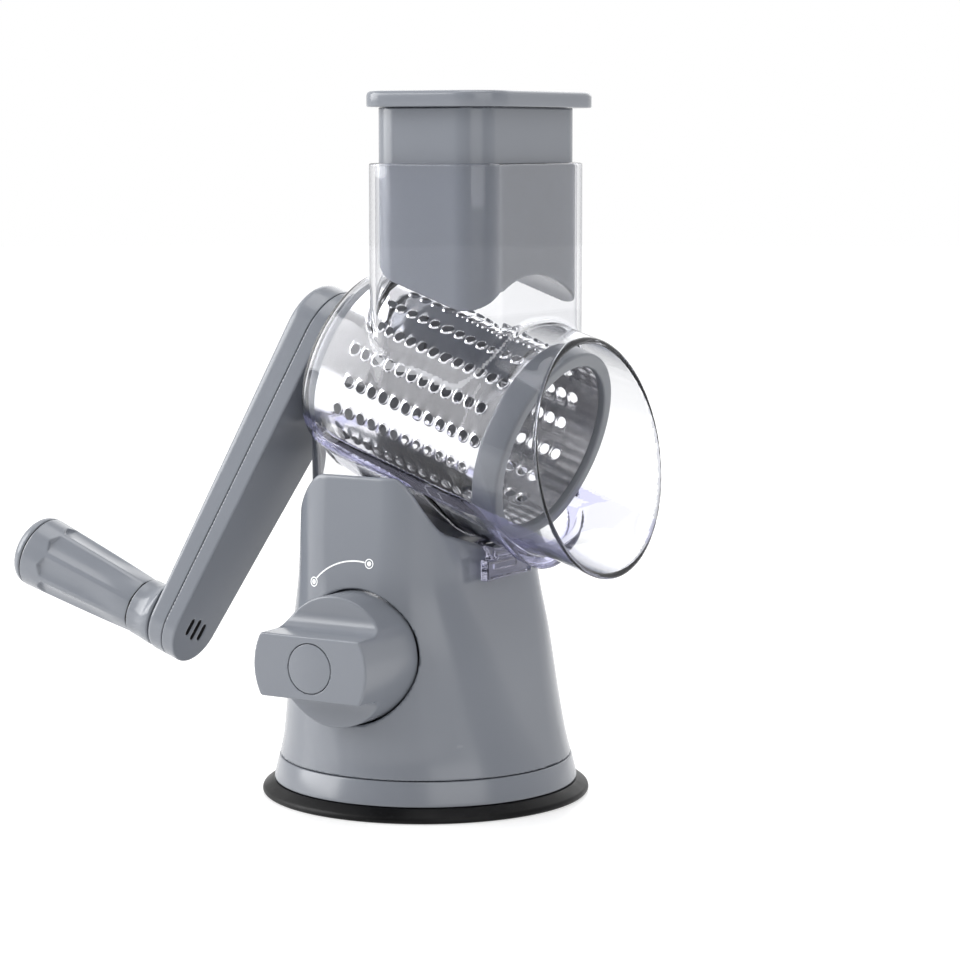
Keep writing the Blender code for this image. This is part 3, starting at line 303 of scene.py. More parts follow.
def rounded(profile, radii, steps=4):
    """Round the corners of a closed (radius, height) outline; on the axis none."""
    out = []
    n = len(profile)
    for i, (p, rad) in enumerate(zip(profile, radii)):
        a, c = profile[i - 1], profile[(i + 1) % n]
        if rad <= 0:
            out.append(p)
            continue
        va, vc = (a[0] - p[0], a[1] - p[1]), (c[0] - p[0], c[1] - p[1])
        la, lc = hypot(*va), hypot(*vc)
        d = min(rad, la * 0.45, lc * 0.45)
        pa = (p[0] + va[0] / la * d, p[1] + va[1] / la * d)
        pc = (p[0] + vc[0] / lc * d, p[1] + vc[1] / lc * d)
        for k in range(steps + 1):
            t = k / steps
            q = [(1 - t) ** 2 * u + 2 * t * (1 - t) * v + t * t * w for u, v, w in zip(pa, p, pc)]
            out.append(tuple(q))
    return out


def lathe(profile, seg, along='Z', at=(0.0, 0.0)):
    verts, idx = [], []
    for r, h in profile:
        if r < 1e-6:
            idx.append([len(verts)] * seg)
            verts.append((0.0, 0.0, h))
        else:
            s = len(verts)
            for j in range(seg):
                a = 2 * pi * j / seg
                verts.append((r * cos(a), r * sin(a), h))
            idx.append([s + j for j in range(seg)])
    faces = []
    m = len(profile)
    for i in range(m):
        p, q = idx[i], idx[(i + 1) % m]
        for j in range(seg):
            k = (j + 1) % seg
            f = []
            for v in (p[j], p[k], q[k], q[j]):
                if v not in f:
                    f.append(v)
            if len(f) > 2:
                faces.append(tuple(f))
    if along == 'X':
        verts = [(h, x + at[0], y + at[1]) for x, y, h in verts]
    elif along == 'Y':
        verts = [(y + at[0], h, x + at[1]) for x, y, h in verts]
    else:
        verts = [(x + at[0], y + at[1], h) for x, y, h in verts]
    return verts, faces


def rrect(cx, cy, hx, hy, r_front, n, flat=0, r_rear=None):
    pts = []
    corners = ((1, -1, -90), (1, 1, 0), (-1, 1, 90), (-1, -1, 180))
    radii = [r_rear if r_rear is not None and c[0] < 0 else r_front for c in corners]
    for i, (sx, sy, a0) in enumerate(corners):
        r = radii[i]
        for k in range(n):
            a = radians(a0 + 90.0 * k / (n - 1))
            pts.append((cx + sx * (hx - r) + r * cos(a), cy + sy * (hy - r) + r * sin(a)))
        if flat:
            p = pts[-1]
            nx, ny, na = corners[(i + 1) % 4]
            r = radii[(i + 1) % 4]
            a = radians(na)
            q = (cx + nx * (hx - r) + r * cos(a), cy + ny * (hy - r) + r * sin(a))
            for k in range(1, flat + 1):
                t = k / (flat + 1)
                pts.append((p[0] + (q[0] - p[0]) * t, p[1] + (q[1] - p[1]) * t))
    return pts


def world(p):
    s, y, b = p
    return (s * CT + b * ST, y, AXIS_Z - s * ST + b * CT)


def on_axis(mesh):
    """From drum coordinates (along, across, above) to the object's frame."""
    return [world(v) for v in mesh[0]], mesh[1]


def smooth(t):
    t = min(1.0, max(0.0, t))
    return t * t * (3 - 2 * t)


# ------------------------------------------------------- distance function kit
def smax(a, b, k):
    h = np.maximum(k - np.abs(a - b), 0.0) / k
    return np.maximum(a, b) + h * h * k * 0.25


def smin(a, b, k):
    h = np.maximum(k - np.abs(a - b), 0.0) / k
    return np.minimum(a, b) - h * h * k * 0.25


def d_rrect(x, y, hx, hy, r):
    qx = np.abs(x) - hx + r
    qy = np.abs(y) - hy + r
    return np.sqrt(np.maximum(qx, 0) ** 2 + np.maximum(qy, 0) ** 2) + np.minimum(np.maximum(qx, qy), 0) - r


def curve_table(xs, ys, step=0.25):
    """Monotone cubic through a short table, sampled for quick reading."""
    xs, ys = np.array(xs, float), np.array(ys, float)
    h = np.diff(xs)
    d = np.diff(ys) / h
    m = np.zeros(len(xs))
    m[0], m[-1] = d[0], d[-1]
    for i in range(1, len(xs) - 1):
        if d[i - 1] * d[i] > 0:
            w1, w2 = 2 * h[i] + h[i - 1], h[i] + 2 * h[i - 1]
            m[i] = (w1 + w2) / (w1 / d[i - 1] + w2 / d[i])
    q = np.arange(xs[0], xs[-1] + step * 0.5, step)
    i = np.clip(np.searchsorted(xs, q, side='right') - 1, 0, len(h) - 1)
    t = (q - xs[i]) / h[i]
    v = ((1 + 2 * t) * (1 - t) ** 2 * ys[i] + t * (1 - t) ** 2 * h[i] * m[i]
         + t * t * (3 - 2 * t) * ys[i + 1] + t * t * (t - 1) * h[i] * m[i + 1])
    return q, v


def read(tab, x):
    return np.interp(x, tab[0], tab[1])


def nets(f, lo, hi, h, steps=3):
    """Mesh the zero level of f by surface nets, then settle the points on it."""
    lo = np.array(lo, float)
    n = np.ceil((np.array(hi, float) - lo) / h).astype(int) + 1
    ax = [lo[i] + h * np.arange(n[i]) for i in range(3)]
    v = np.empty(tuple(n), np.float32)
    for i0 in range(0, n[0], 24):
        i1 = min(n[0], i0 + 24)
        v[i0:i1] = f(ax[0][i0:i1, None, None], ax[1][None, :, None], ax[2][None, None, :])
    v[v == 0] = 1e-5
    inside = v < 0
    nc = n - 1
    cells, points, faces = [], [], []
    for d in range(3):
        a = [slice(None)] * 3
        b = [slice(None)] * 3
        a[d], b[d] = slice(0, -1), slice(1, None)
        idx = np.argwhere(inside[tuple(a)] != inside[tuple(b)])
        e = np.zeros(3, int)
        e[d] = 1
        va, vb = v[tuple(idx.T)], v[tuple((idx + e).T)]
        p = lo + h * idx
        p[:, d] += h * va / (va - vb)
        o1, o2 = ((1, 2), (2, 0), (0, 1))[d]
        q = np.empty((len(idx), 4), np.int64)
        for c, (u, w) in enumerate(((0, 0), (1, 0), (1, 1), (0, 1))):
            g = idx.copy()
            g[:, o1] -= u
            g[:, o2] -= w
            q[:, c] = (g[:, 0] * nc[1] + g[:, 1]) * nc[2] + g[:, 2]
            cells.append(q[:, c].copy())
            points.append(p)
        flip = va > 0
        q[~flip] = q[~flip][:, ::-1]
        faces.append(q[:, ::-1])
    cells, points, faces = np.concatenate(cells), np.concatenate(points), np.concatenate(faces)
    uniq, inv = np.unique(cells, return_inverse=True)
    cnt = np.bincount(inv).astype(float)
    verts = np.stack([np.bincount(inv, points[:, i]) / cnt for i in range(3)], 1)
    quads = np.searchsorted(uniq, faces)
    for _ in range(steps):
        g, val = gradient(f, verts)
        l2 = np.maximum((g ** 2).sum(1), 0.05)
        move = -(val / l2)[:, None] * g
        size = np.sqrt((move ** 2).sum(1))
        verts = verts + move * np.minimum(1.0, 0.5 * h / np.maximum(size, 1e-9))[:, None]
    g, _ = gradient(f, verts)
    g /= np.maximum(np.sqrt((g ** 2).sum(1)), 1e-9)[:, None]
    return verts, quads, g


def gradient(f, p, e=0.04):
    x, y, z = p[:, 0], p[:, 1], p[:, 2]
    g = np.stack([f(x + e, y, z) - f(x - e, y, z), f(x, y + e, z) - f(x, y - e, z),
                  f(x, y, z + e) - f(x, y, z - e)], 1) / (2 * e)
    return g, f(x, y, z)


def moulding(name, f, lo, hi, h, mat, place=None):
    verts, quads, nrm = nets(f, lo, hi, h * FINE)
    if place is not None:
        verts, nrm = place(verts), place(nrm, True)
    # outward test: the signed volume has to be positive
    a, b, c, d = (verts[quads[:, i]] for i in range(4))
    vol = (np.einsum('ij,ij->i', a, np.cross(b, c)) + np.einsum('ij,ij->i', a, np.cross(c, d))).sum()
    if vol < 0:
        quads = quads[:, ::-1]
    return array_mesh(name, verts, quads, mat, nrm)


def tilted(p, direction=False):
    s, y, b = p[:, 0], p[:, 1], p[:, 2]
    return np.stack([s * CT + b * ST, y, (0.0 if direction else AXIS_Z) - s * ST + b * CT], 1)


# ------------------------------------------------------------------- the base
BODY = ((15.0, 58.8, 58.8, 58.7, 0.0), (22.0, 56.0, 57.9, 55.4, -0.2), (32.0, 52.2, 57.2, 50.0, -0.6),
        (61.7, 44.6, 55.0, 39.0, -1.8), (93.0, 35.9, 50.6, 25.0, -2.8), (115.0, 34.8, 48.9, 22.6, -2.8),
        (131.5, 34.1, 47.8, 22.0, -2.8))
BODY_TAB = [curve_table([r[0] for r in BODY], [r[i] for r in BODY]) for i in (1, 2, 3, 4)]


def d_body(x, y, z):
    hx, hy, r, cx = (read(t, z) for t in BODY_TAB)
    return d_rrect(x - cx, y, hx, hy, np.minimum(r, hx - 0.01))


def ease(t):
    t = np.clip(t, 0.0, 1.0)
    return t * t * (3 - 2 * t)


def wall_top(x, y):
    r, xf, xr, yc = 22.0, 11.2, -16.8, 26.0
    ay = np.abs(y)
    side = np.maximum(ay - yc, 1e-6)
    run_f = np.where(ay > yc, r * np.arctan2(np.maximum(x - xf, 0), side), r * pi / 2 + (yc - ay))
    run_r = np.where(ay > yc, r * np.arctan2(np.maximum(xr - x, 0), side), r * pi / 2 + (yc - ay))
    front = PANEL_DROP * ease((run_f - 3.0) / 24.0) + SILL_DROP * np.clip((run_f - 25.0) / 35.0, 0, 1)
    rear = REAR_DROP * ease((run_r - 1.0) / 24.0)
    return PANEL_TOP - np.where(x > xf, front, np.where(x < xr, rear, 0.0))


BOSSES = [(52.4 * cos(radians(a)), 52.4 * sin(radians(a))) for a in (45, 135, 225, 315)]


def f_shell(x, y, z):
    o = d_body(x, y, z)
    top = (z - wall_top(x, y)) * 0.8
    f = smax(o, -(o + SHELL_WALL), 0.6)
    f = smax(f, top, 1.3)
    f = smax(f, SHELL_Z0 - z, 0.5)
    for bx, by in BOSSES:
        r = np.sqrt((x - bx) ** 2 + (y - by) ** 2)
        post = np.maximum(np.maximum(np.maximum(r - 3.7, z - 27.6), 8.6 - z), o + 0.5)
        f = smin(f, post, 0.8)
        f = np.maximum(f, -np.maximum(r - 1.8, z - 22.6))
    hole = np.maximum(np.sqrt(x ** 2 + (z - KNOB_Z) ** 2) - HOLE_R, y + 25.0)
    return smax(f, -hole, 0.9)


shell = moulding("shell_visible", f_shell, (-63, -62, 7.4), (62, 62, 133.5), 0.85, GREY)
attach(shell, "base")
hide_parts("base_shell")

pad = [(0, 0), (65.4, 0), (66.0, 0.9), (65.7, 2.3), (61.8, 5.2), (52.0, 5.2), (48.0, 3.2), (0, 3.2)]
pad = rounded(pad, (0, 0.5, 0.5, 0.9, 0.4, 0.4, 0.4, 0))
ob = add_object("foot_visible", *lathe(pad, 160), RUBBER)
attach(ob, "base")
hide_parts("suction_pad")

band = [(61.0, 5.5), (61.0, 6.5), (59.0, 15.0), (56.6, 15.0), (58.4, 8.1), (44.6, 8.1), (42.6, 14.4), (9.0, 14.4),
        (9.0, 12.0), (40.2, 12.0), (42.2, 5.5)]
band = rounded(band, (0.35, 0.3, 0.45, 0.3, 0.3, 1.0, 0.8, 0.5, 0.5, 1.0, 0.3), 3)
ob = add_object("ring_visible", *lathe(band, 160), GREY)
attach(ob, "base")
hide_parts("base_plate")


# printed lock mark: a thin arc between two ringed dots, laid on the shell
def on_front(x, z, lift):
    """Point on the shell's -Y face at x, z, raised by lift."""
    lo_y, hi_y = -64.0, -30.0
    for _ in range(40):
        mid = (lo_y + hi_y) / 2
        if float(d_body(np.array([x]), np.array([mid]), np.array([z]))[0]) > lift:
            lo_y = mid
        else:
            hi_y = mid
    return (x, (lo_y + hi_y) / 2, z)


def printed(name, centre, r0, r1, a0, a1, steps):
    """A flat ring or arc strip lying on the front face."""
    full = abs(a1 - a0) >= 359.9
    n = steps if full else steps + 1
    rows = []
    for lift in (0.03, 0.10):
        for r in ((r0, r1) if lift < 0.05 else (r1, r0)):
            rows.append([on_front(centre[0] + r * cos(radians(a0 + (a1 - a0) * k / steps)),
                                  centre[1] + r * sin(radians(a0 + (a1 - a0) * k / steps)), lift) for k in range(n)])
    verts, faces = [p for r in rows for p in r], []
    for i in range(4):
        a, b = i * n, ((i + 1) % 4) * n
        for k in range(n if full else n - 1):
            j = (k + 1) % n
            faces.append((a + k, a + j, b + j, b + k))
    if not full:
        faces.append((0, n, 2 * n, 3 * n))
        faces.append((n - 1, 2 * n - 1, 3 * n - 1, 4 * n - 1))
    ob = add_object(name, verts, faces, PRINT, 60.0)
    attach(ob, "base")
    return ob


ARC_C, ARC_R = (-0.1, 73.0), 25.8
DOT_A, DOT_B = (-20.2, 89.3), (5.6, 98.3)
ang = [degrees(atan2(d[1] - ARC_C[1], d[0] - ARC_C[0])) for d in (DOT_A, DOT_B)]
rad = [hypot(d[0] - ARC_C[0], d[1] - ARC_C[1]) for d in (DOT_A, DOT_B)]
gap = degrees(2.1 / ARC_R)
printed("mark_arc", ARC_C, ARC_R - 0.28, ARC_R + 0.28, ang[0] - gap, ang[1] + gap, 48)
for name, d in (("mark_a", DOT_A), ("mark_b", DOT_B)):
    c = (ARC_C[0] + ARC_R * (d[0] - ARC_C[0]) / hypot(d[0] - ARC_C[0], d[1] - ARC_C[1]),
         ARC_C[1] + ARC_R * (d[1] - ARC_C[1]) / hypot(d[0] - ARC_C[0], d[1] - ARC_C[1]))
    printed(name + "_ring", c, 1.55, 1.95, 0, 360, 32)
    printed(name + "_dot", c, 0.05, 0.95, 0, 360, 24)


# ------------------------------------------------------------------- the knob
def f_knob(x, y, z):
    zz = z - KNOB_Z
    r = np.sqrt(x ** 2 + zz ** 2)
    # the bar is a little narrower toward its face
    half = KNOB_BAR - 0.02 * (KNOB_DISC - y)
    bar = smax(np.abs(zz) - half, KNOB_FACE - y, 0.8)
    front = smin(KNOB_DISC - y, bar, 7.0)
    f = smax(front, r - KNOB_R, 0.8)
    f = smax(f, y - KNOB_BACK, 1.6)
    f = np.maximum(f, -np.maximum(r - 9.8, y - (KNOB_FACE + 2.0)))
    f = np.maximum(f, -np.maximum(r - 4.6, y + 79.0))
    f = np.maximum(f, -np.maximum(r - 1.8, y + 70.0))
    f = np.maximum(f, -np.maximum(r - 5.3, -76.0 - y))
    return f


knob = moulding("knob_visible", f_knob, (-27.5, -85.5, 34), (27.5, -44.5, 89.5), 0.5, GREY)
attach(knob, "knob")
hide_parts("lock_knob")
cap = rounded([(0, KNOB_FACE + 1.7), (9.5, KNOB_FACE + 1.7), (9.5, KNOB_FACE), (0, KNOB_FACE)], (0, 0.2, 0.3, 0))
ob = add_object("knob_cap_visible", *lathe(cap, 96, along='Y', at=(0, KNOB_Z)), GREY)
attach(ob, "knob")
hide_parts("knob_cap")

# ----------------------------------------------------------- the clear housing
SECTIONS = ((-34.6, 33.6, 33.6, 33.6, 2.0, 2.0), (-34.2, 35.6, 35.6, 35.6, 2.0, 2.0),
            (-33.0, 37.3, 37.3, 37.3, 2.0, 2.0), (-30.5, 38.9, 38.9, 38.9, 2.0, 2.0),
            (-25.0, 40.6, 40.4, 40.4, 2.04, 2.0), (-15.0, 43.0, 42.2, 42.0, 2.15, 2.06),
            (0.0, 45.2, 43.4, 43.2, 2.32, 2.12), (20.0, 46.0, 44.0, 43.9, 2.45, 2.12),
            (44.0, 46.2, 44.0, 44.2, 2.4, 2.05))
SEC_TAB = [curve_table([r[0] for r in SECTIONS], [r[i] for r in SECTIONS], 0.1) for i in (1, 2, 3, 4, 5)]
SLOPE = (SEC_TAB[0][0], 1.0 / np.sqrt(1.0 + np.minimum(np.gradient(SEC_TAB[0][1], 0.1), 3.0) ** 2))
WALL = 2.3


def hull(s, y, b, inset):
    """Barrel running into the flared outlet: under zero inside it."""
    t = np.zeros(np.broadcast(s, y, b).shape)
    if np.max(s) > HOOD_S:
        for _ in range(4):
            q = np.clip((b - 4 * t) / (44 - 2.52 * t), -1.4, 1.4)
            t = np.clip((s - HOOD_S) / (39.5 - 22.1 * q), 0.0, 1.25)
    hw, up, dn, e1, e2 = (read(tab, s) for tab in SEC_TAB)
    g = t + HOOD_LIFT * np.sin(pi * np.clip(1.5 * t - 0.5, 0, 1)) ** 2
    hw = hw + (RIM_A - 46.2) * t
    up = up - 2.52 * t
    dn = dn + 4 * t - 6.72 * g
    e1 = e1 - 0.4 * t
    e2 = e2 - 0.05 * t
    bb = b - 4 * t
    low = bb < 0
    h = np.where(low, dn, up) - inset
    e = np.where(low, e2, e1)
    w = hw - inset
    rho = (np.maximum(np.abs(y) / w, 1e-6) ** e + np.maximum(np.abs(bb) / h, 1e-6) ** e) ** (1.0 / e)
    return (rho - 1.0) * np.minimum(w, h) * read(SLOPE, s)


def axis_height(x):
    return AXIS_Z - x * tan(TILT)


def rail_height(x, y):
    r = 43.6
    dip = np.sqrt(np.maximum(r * r - y * y, 24.0 ** 2))
    return axis_height(x) - np.where(x > 0, dip, 24.0) / CT


def f_housing(x, y, z):
    s = x * CT - (z - AXIS_Z) * ST
    b = x * ST + (z - AXIS_Z) * CT
    outer = smax(hull(s, y, b, 0.0), -34.6 - s, 0.8)
    inner = smax(hull(s, y, b, WALL), -34.6 + WALL - s, 1.5)
    # hopper
    floor = (axis_height(x) + 8.0 / CT - z) * CT
    ho = smax(d_rrect(x - CH_CX, y, CH_HX, CH_HY, CH_R), floor, 1.0)
    hi = smax(d_rrect(x - CH_CX, y, CH_HX - WALL, CH_HY - WALL, CH_R - WALL), floor - 2.0, 1.0)
    # upright cheeks from the rail up to the barrel's side, open inside
    rail = rail_height(x, y)
    level = (z - rail) * CT
    half = read(SEC_TAB[0], (x + 5.0 * ST) / CT)
    grow = np.clip((b + 22.0) / 17.0, 0, 1)
    pinch = 1 + grow * (np.minimum(1.0, (half - 1.2) / 44.4) - 1)
    cheek_o = d_rrect(x - 12.15, y / pinch, 44.95, 43.1, 22.0)
    cheek = smax(smax(cheek_o, -level, 0.6), b + 5.0, 1.5)
    room = smax(smax(cheek_o + WALL, 1.8 - level, 1.2), b + 4.0, 1.0)
    plan = d_rrect(x - 11.8, y, 45.8, 43.6, 23.0)
    band = smax(smax(plan, -(plan + 5.5), 0.5), np.abs(level) - RAIL_H / 2, 0.9)
    sk = d_rrect(x + 2.8, y, 31.2, 44.2, 20.0)
    skirt = smax(smax(sk, -(sk + 2.2), 0.4), np.maximum(92.0 - z, level), 0.8)
    solid = smin(outer, ho, 2.4)
    solid = smin(solid, cheek, 1.2)
    solid = smin(solid, band, 0.9)
    solid = smin(solid, skirt, 1.0)
    room = smax(room, -(sk + 60.0), 0.5)
    void = smin(smin(inner, hi, 2.4), room, 1.5)
    f = smax(solid, -void, 0.5)
    # the hollow under the trough, inside the skirt
    under = smax(smax(sk + 2.2, level + 1.2, 0.8), -(outer - 0.2), 0.8)
    f = smax(f, -under, 0.6)
    rim = RIM_V[1] * (s - RIM_C[0]) - RIM_V[0] * (b - RIM_C[1])
    f = smax(f, rim, 1.1)
    f = smax(f, z - CH_TOP, 1.1)
    hole = np.maximum(np.sqrt(y * y + b * b) - 16.6, s + 28.0)
    return smax(f, -hole, 0.6)


housing = moulding("housing_visible", f_housing, (-45, -52, 90.5), (93, 52, 254), 0.85, CLEAR)
me = housing.data
me.materials.append(CLEAR_RAIL)
mid = np.empty(len(me.polygons) * 3)
me.polygons.foreach_get("center", mid)
mid = mid.reshape(-1, 3) / MM
on_rail = ((np.abs((mid[:, 2] - rail_height(mid[:, 0], mid[:, 1])) * CT) < RAIL_H / 2 + 0.15)
           & (d_rrect(mid[:, 0] - 11.8, mid[:, 1], 45.8, 43.6, 23.0) > -6.2))
ms = mid[:, 0] * CT - (mid[:, 2] - AXIS_Z) * ST
mb = mid[:, 0] * ST + (mid[:, 2] - AXIS_Z) * CT
to_rim = RIM_V[1] * (ms - RIM_C[0]) - RIM_V[0] * (mb - RIM_C[1])
# faces at the outlet rim and the hopper's top edge get the painted rim shade (index 3)
on_rim = (to_rim > -0.75) | (mid[:, 2] > CH_TOP - 0.75)
kind = np.where(on_rim, 3, np.where(on_rail, 1, np.where((to_rim > -26.0) & (mb < 47.0), 2, 0)))
# faces along the hopper-barrel crease get the painted fillet shade line (index 4)
saddle = np.minimum(hull(ms, mid[:, 1], mb, 0.0), d_rrect(mid[:, 0] - CH_CX, mid[:, 1], CH_HX, CH_HY, CH_R))
kind[(saddle > 0.42) & (mid[:, 2] > axis_height(mid[:, 0]) + 9.5) & (kind != 3)] = 4
me.materials.append(CLEAR_HOOD)
me.materials.append(CLEAR_RIM_SHADE)
me.materials.append(CLEAR_FILLET_SHADE)
me.polygons.foreach_set("material_index", kind.astype(np.int32))
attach(housing, "feeder")
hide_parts("drum_housing")


# release tab: a lipped press plate under a neck that flares into the rail
def f_tab(x, y, z):
    u, w = x - 36.2, z - 100.0
    plate = smax(smax(np.abs(u - 1.5) - 1.9, np.abs(y) - 17.2, 0.9), np.abs(w + 6.3) - 4.3, 0.9)
    dish = smax(smax(np.abs(u - 3.9) - 1.3, np.abs(y) - 15.4, 0.8), np.abs(w + 6.5) - 2.9, 0.8)
    plate = smax(plate, -dish, 0.5)
    top = rail_height(x, y) - RAIL_H / 2 - 0.5 - 100.0
    flare = 13.0 + 4.5 * np.clip((w + 1.5) / 5.0, 0, 1.2) ** 2
    neck = smax(smax(np.abs(u - 0.6) - 1.0, np.abs(y) - flare, 0.6), smax(w - top, -3.5 - w, 0.4), 0.5)
    rib = smax(smax(np.abs(u + 0.9) - 0.9, np.abs(y) - 8.4, 0.4), np.abs(w + 5.6) - 1.4, 0.4)
    f = smin(plate, neck, 1.2)
    for c in (-9.5, 9.5):
        gus = smax(smax(np.abs(y - c) - 0.7, (u + w * 0.7 + 0.0) - 2.2, 0.3), smax(w - top, -3.0 - w, 0.3), 0.3)
        gus = smax(gus, -0.4 - u, 0.3)
        f = smin(f, gus, 0.4)
    return smin(f, rib, 0.5)


tab = moulding("tab_visible", f_tab, (33.8, -19, 88.2), (41.5, 19, 105.5), 0.42, CLEAR_TAB)
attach(tab, "latch")
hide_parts("release_tab")


# -------------------------------------------------------------------- the drum
def grating(cols, rows, pitch, first):
    """Steel sheet cylinder with staggered scoops raised out of it."""
    width = 2 * pi / cols
    across, along = 8, 4
    step = pitch / along
    verts, faces = [], []

    def put(s, a, rad):
        verts.append((s, rad * cos(a), rad * sin(a)))
        return len(verts) - 1

    # corner ring of a cell in (along, across) halves, counterclockwise
    edge = []
    for k in range(across):
        edge.append((-1.0, -1.0 + 2.0 * k / across))
    for k in range(along):
        edge.append((-1.0 + 2.0 * k / along, 1.0))
    for k in range(across):
        edge.append((1.0, 1.0 - 2.0 * k / across))
    for k in range(along):
        edge.append((1.0 - 2.0 * k / along, -1.0))
    m = len(edge)
    hp, hw = pitch / 2, DRUM_R * width / 2
    # radius of ring round the opening, rise over the sheet, 1 = outside face
    rings = ((2.55, 0.03, 1), (2.42, 0.22, 1), (2.26, 0.55, 1), (2.08, 0.80, 1), (1.93, 0.84, 1),
             (1.90, 0.60, 0), (2.02, 0.30, 0), (2.20, -0.05, 0), (2.42, -0.35, 0), (2.60, -0.48, 0))
    n0 = DRUM_S0
    for c in range(cols):
        a_mid = c * width
        start = first + (pitch / 2 if c % 2 else 0.0) - pitch / 2
        end = start + rows * pitch
        lead = [n0] + [start - step * k for k in range(int((start - n0) / step) - 1, -1, -1)]
        tail = [end + step * k for k in range(int((DRUM_S1 - end) / step))] + [DRUM_S1]
        for run in (lead, tail):
            for side, rad in ((1, DRUM_R), (0, DRUM_R - 0.5)):
                grid = [[put(s, a_mid - width / 2 + width * k / across, rad) for k in range(across + 1)] for s in run]
                for i in range(len(run) - 1):
                    for k in range(across):
                        q = (grid[i][k], grid[i][k + 1], grid[i + 1][k + 1], grid[i + 1][k])
                        faces.append(q if side else q[::-1])
        for s_end, turn in ((n0, 1), (DRUM_S1, 0)):
            for k in range(across):
                a0, a1 = a_mid - width / 2 + width * k / across, a_mid - width / 2 + width * (k + 1) / across
                q = (put(s_end, a0, DRUM_R), put(s_end, a0, DRUM_R - 0.5), put(s_end, a1, DRUM_R - 0.5), put(s_end, a1, DRUM_R))
                faces.append(q if turn else q[::-1])
        for row in range(rows):
            s_mid = start + pitch * (row + 0.5)
            out0 = [put(s_mid + u * hp, a_mid + w * width / 2, DRUM_R) for u, w in edge]
            in0 = [put(s_mid + u * hp, a_mid + w * width / 2, DRUM_R - 0.5) for u, w in edge]
            prev = out0
            angs = [atan2(w * hw, u * hp) for u, w in edge]
            for rr, rise, outside in rings:
                cur = []
                for a in angs:
                    lean = 0.62 + 0.38 * sin(a)
                    ru = rr * 1.0
                    rw = rr * 1.12
                    up = rise * lean if rise > 0 else rise
                    base = DRUM_R
                    cur.append(put(s_mid + ru * cos(a), a_mid + rw * sin(a) / DRUM_R, base + up))
                for k in range(m):
                    j = (k + 1) % m
                    faces.append((prev[k], prev[j], cur[j], cur[k]))
                prev = cur
            for k in range(m):
                j = (k + 1) % m
                faces.append((prev[k], prev[j], in0[j], in0[k]))
    return verts, faces


drum = add_object("grating_visible", *on_axis(grating(18, 12, 5.5, -15.5)), STEEL, 38.0, merge=2e-5)
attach(drum, "drum")
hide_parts("drum_shell")

hub = [(0, -24.0), (34.1, -24.0), (34.1, -27.3), (HUB_R, -27.3), (HUB_R, -31.6), (24.0, -31.6), (23.0, -30.9), (STEM_R, -30.9),
       (STEM_R, -40.2), (9.4, -40.2), (8.2, -37.8), (8.2, -27.0), (0, -27.0)]
hub = rounded(hub, (0, 0.3, 0, 0.3, 1.4, 0.3, 0.3, 0.8, 0.8, 0.4, 0.3, 0.2, 0), 4)
ob = add_object("hub_visible", *on_axis(lathe(hub, 128, along='X')), GREY_IN)
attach(ob, "drum")
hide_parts("drum_hub")

rim = [(RIM_R, RIM_S0), (RIM_R, RIM_S1), (DRUM_R - 1.4, RIM_S1), (DRUM_R - 1.4, DRUM_S1 + 0.4), (DRUM_R + 0.4, DRUM_S1 + 0.4),
       (DRUM_R + 0.4, RIM_S0)]
rim = rounded(rim, (1.6, 1.4, 0.9, 0.3, 0.2, 0.6), 5)
ob = add_object("drum_rim_visible", *on_axis(lathe(rim, 160, along='X')), GREY_IN)
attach(ob, "drum")
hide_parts("drum_rim")

bush = [(STEM_R + 0.3, -36.6), (BUSH_R + 2.2, -36.6), (BUSH_R + 2.2, -34.9), (BUSH_R, -34.9), (BUSH_R, -31.4), (STEM_R + 0.3, -31.4)]
bush = rounded(bush, (0.4, 0.5, 0.4, 0, 0.5, 0.4), 3)
ob = add_object("bush_visible", *on_axis(lathe(bush, 96, along='X')), BEARING)
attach(ob, "drum")
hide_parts("drum_bush")


# ------------------------------------------------------------------- the crank
def shade_gap(ob, s0, s1, r_in, centre=(0.0, 0.0), lean=0.93):
    """Faces inside a seam, between two stations along the axis, get painted black shade."""
    me = ob.data
    me.materials.append(PAINTED_GAP_SHADE)
    k = len(me.materials) - 1
    for p in me.polygons:
        x, y, z = (c / MM for c in p.center)
        s = x * CT - (z - AXIS_Z) * ST
        b = x * ST + (z - AXIS_Z) * CT
        along = abs(p.normal.x * CT - p.normal.z * ST)
        if s0 < s < s1 and along > lean and hypot(y - centre[0], b - centre[1]) < r_in:
            p.material_index = k


def d_arm(y, b, r1=ARM_R1, r2=ARM_R2):
    """Distance to the flat outline of the arm: two discs and their tangents."""
    d = (cos(ARM_ANG), sin(ARM_ANG))
    u = y * d[0] + b * d[1]
    v = np.abs(-y * d[1] + b * d[0])
    al = (r1 - r2) / ARM_L
    ca, sa = sqrt(1 - al * al), al
    k = u * ca - v * sa
    side = v * ca + u * sa - r1
    hub_end = np.sqrt(u * u + v * v) - r1
    far_end = np.sqrt((u - ARM_L) ** 2 + v * v) - r2
    return np.where(k < 0, hub_end, np.where(k > ARM_L * ca, far_end, side))


def reach(y, b):
    return np.maximum(0.0, y * cos(ARM_ANG) + b * sin(ARM_ANG) - ARM_BEND)


SPLIT_R, SPLIT_F = ARM_SPLIT - GAP / 2, ARM_SPLIT + GAP / 2


def f_arm(s, y, b):
    o = d_arm(y, b)
    u = (y * cos(ARM_ANG) + b * sin(ARM_ANG)) / ARM_L
    back = ARM_S1 - ARM_SWELL * np.clip(1.0 - u, 0.0, 1.2)
    f = smax(o, back - s, 4.2 - 2.6 * np.clip(u, 0, 1))
    f = smax(f, s - SPLIT_R, 0.35)
    room = smax(o + 2.2, back + 2.2 - s, 2.0)
    f = np.maximum(f, -room)
    return np.maximum(f, -(np.sqrt((y - GY) ** 2 + (b - GB) ** 2) - AXLE_R - 0.3))


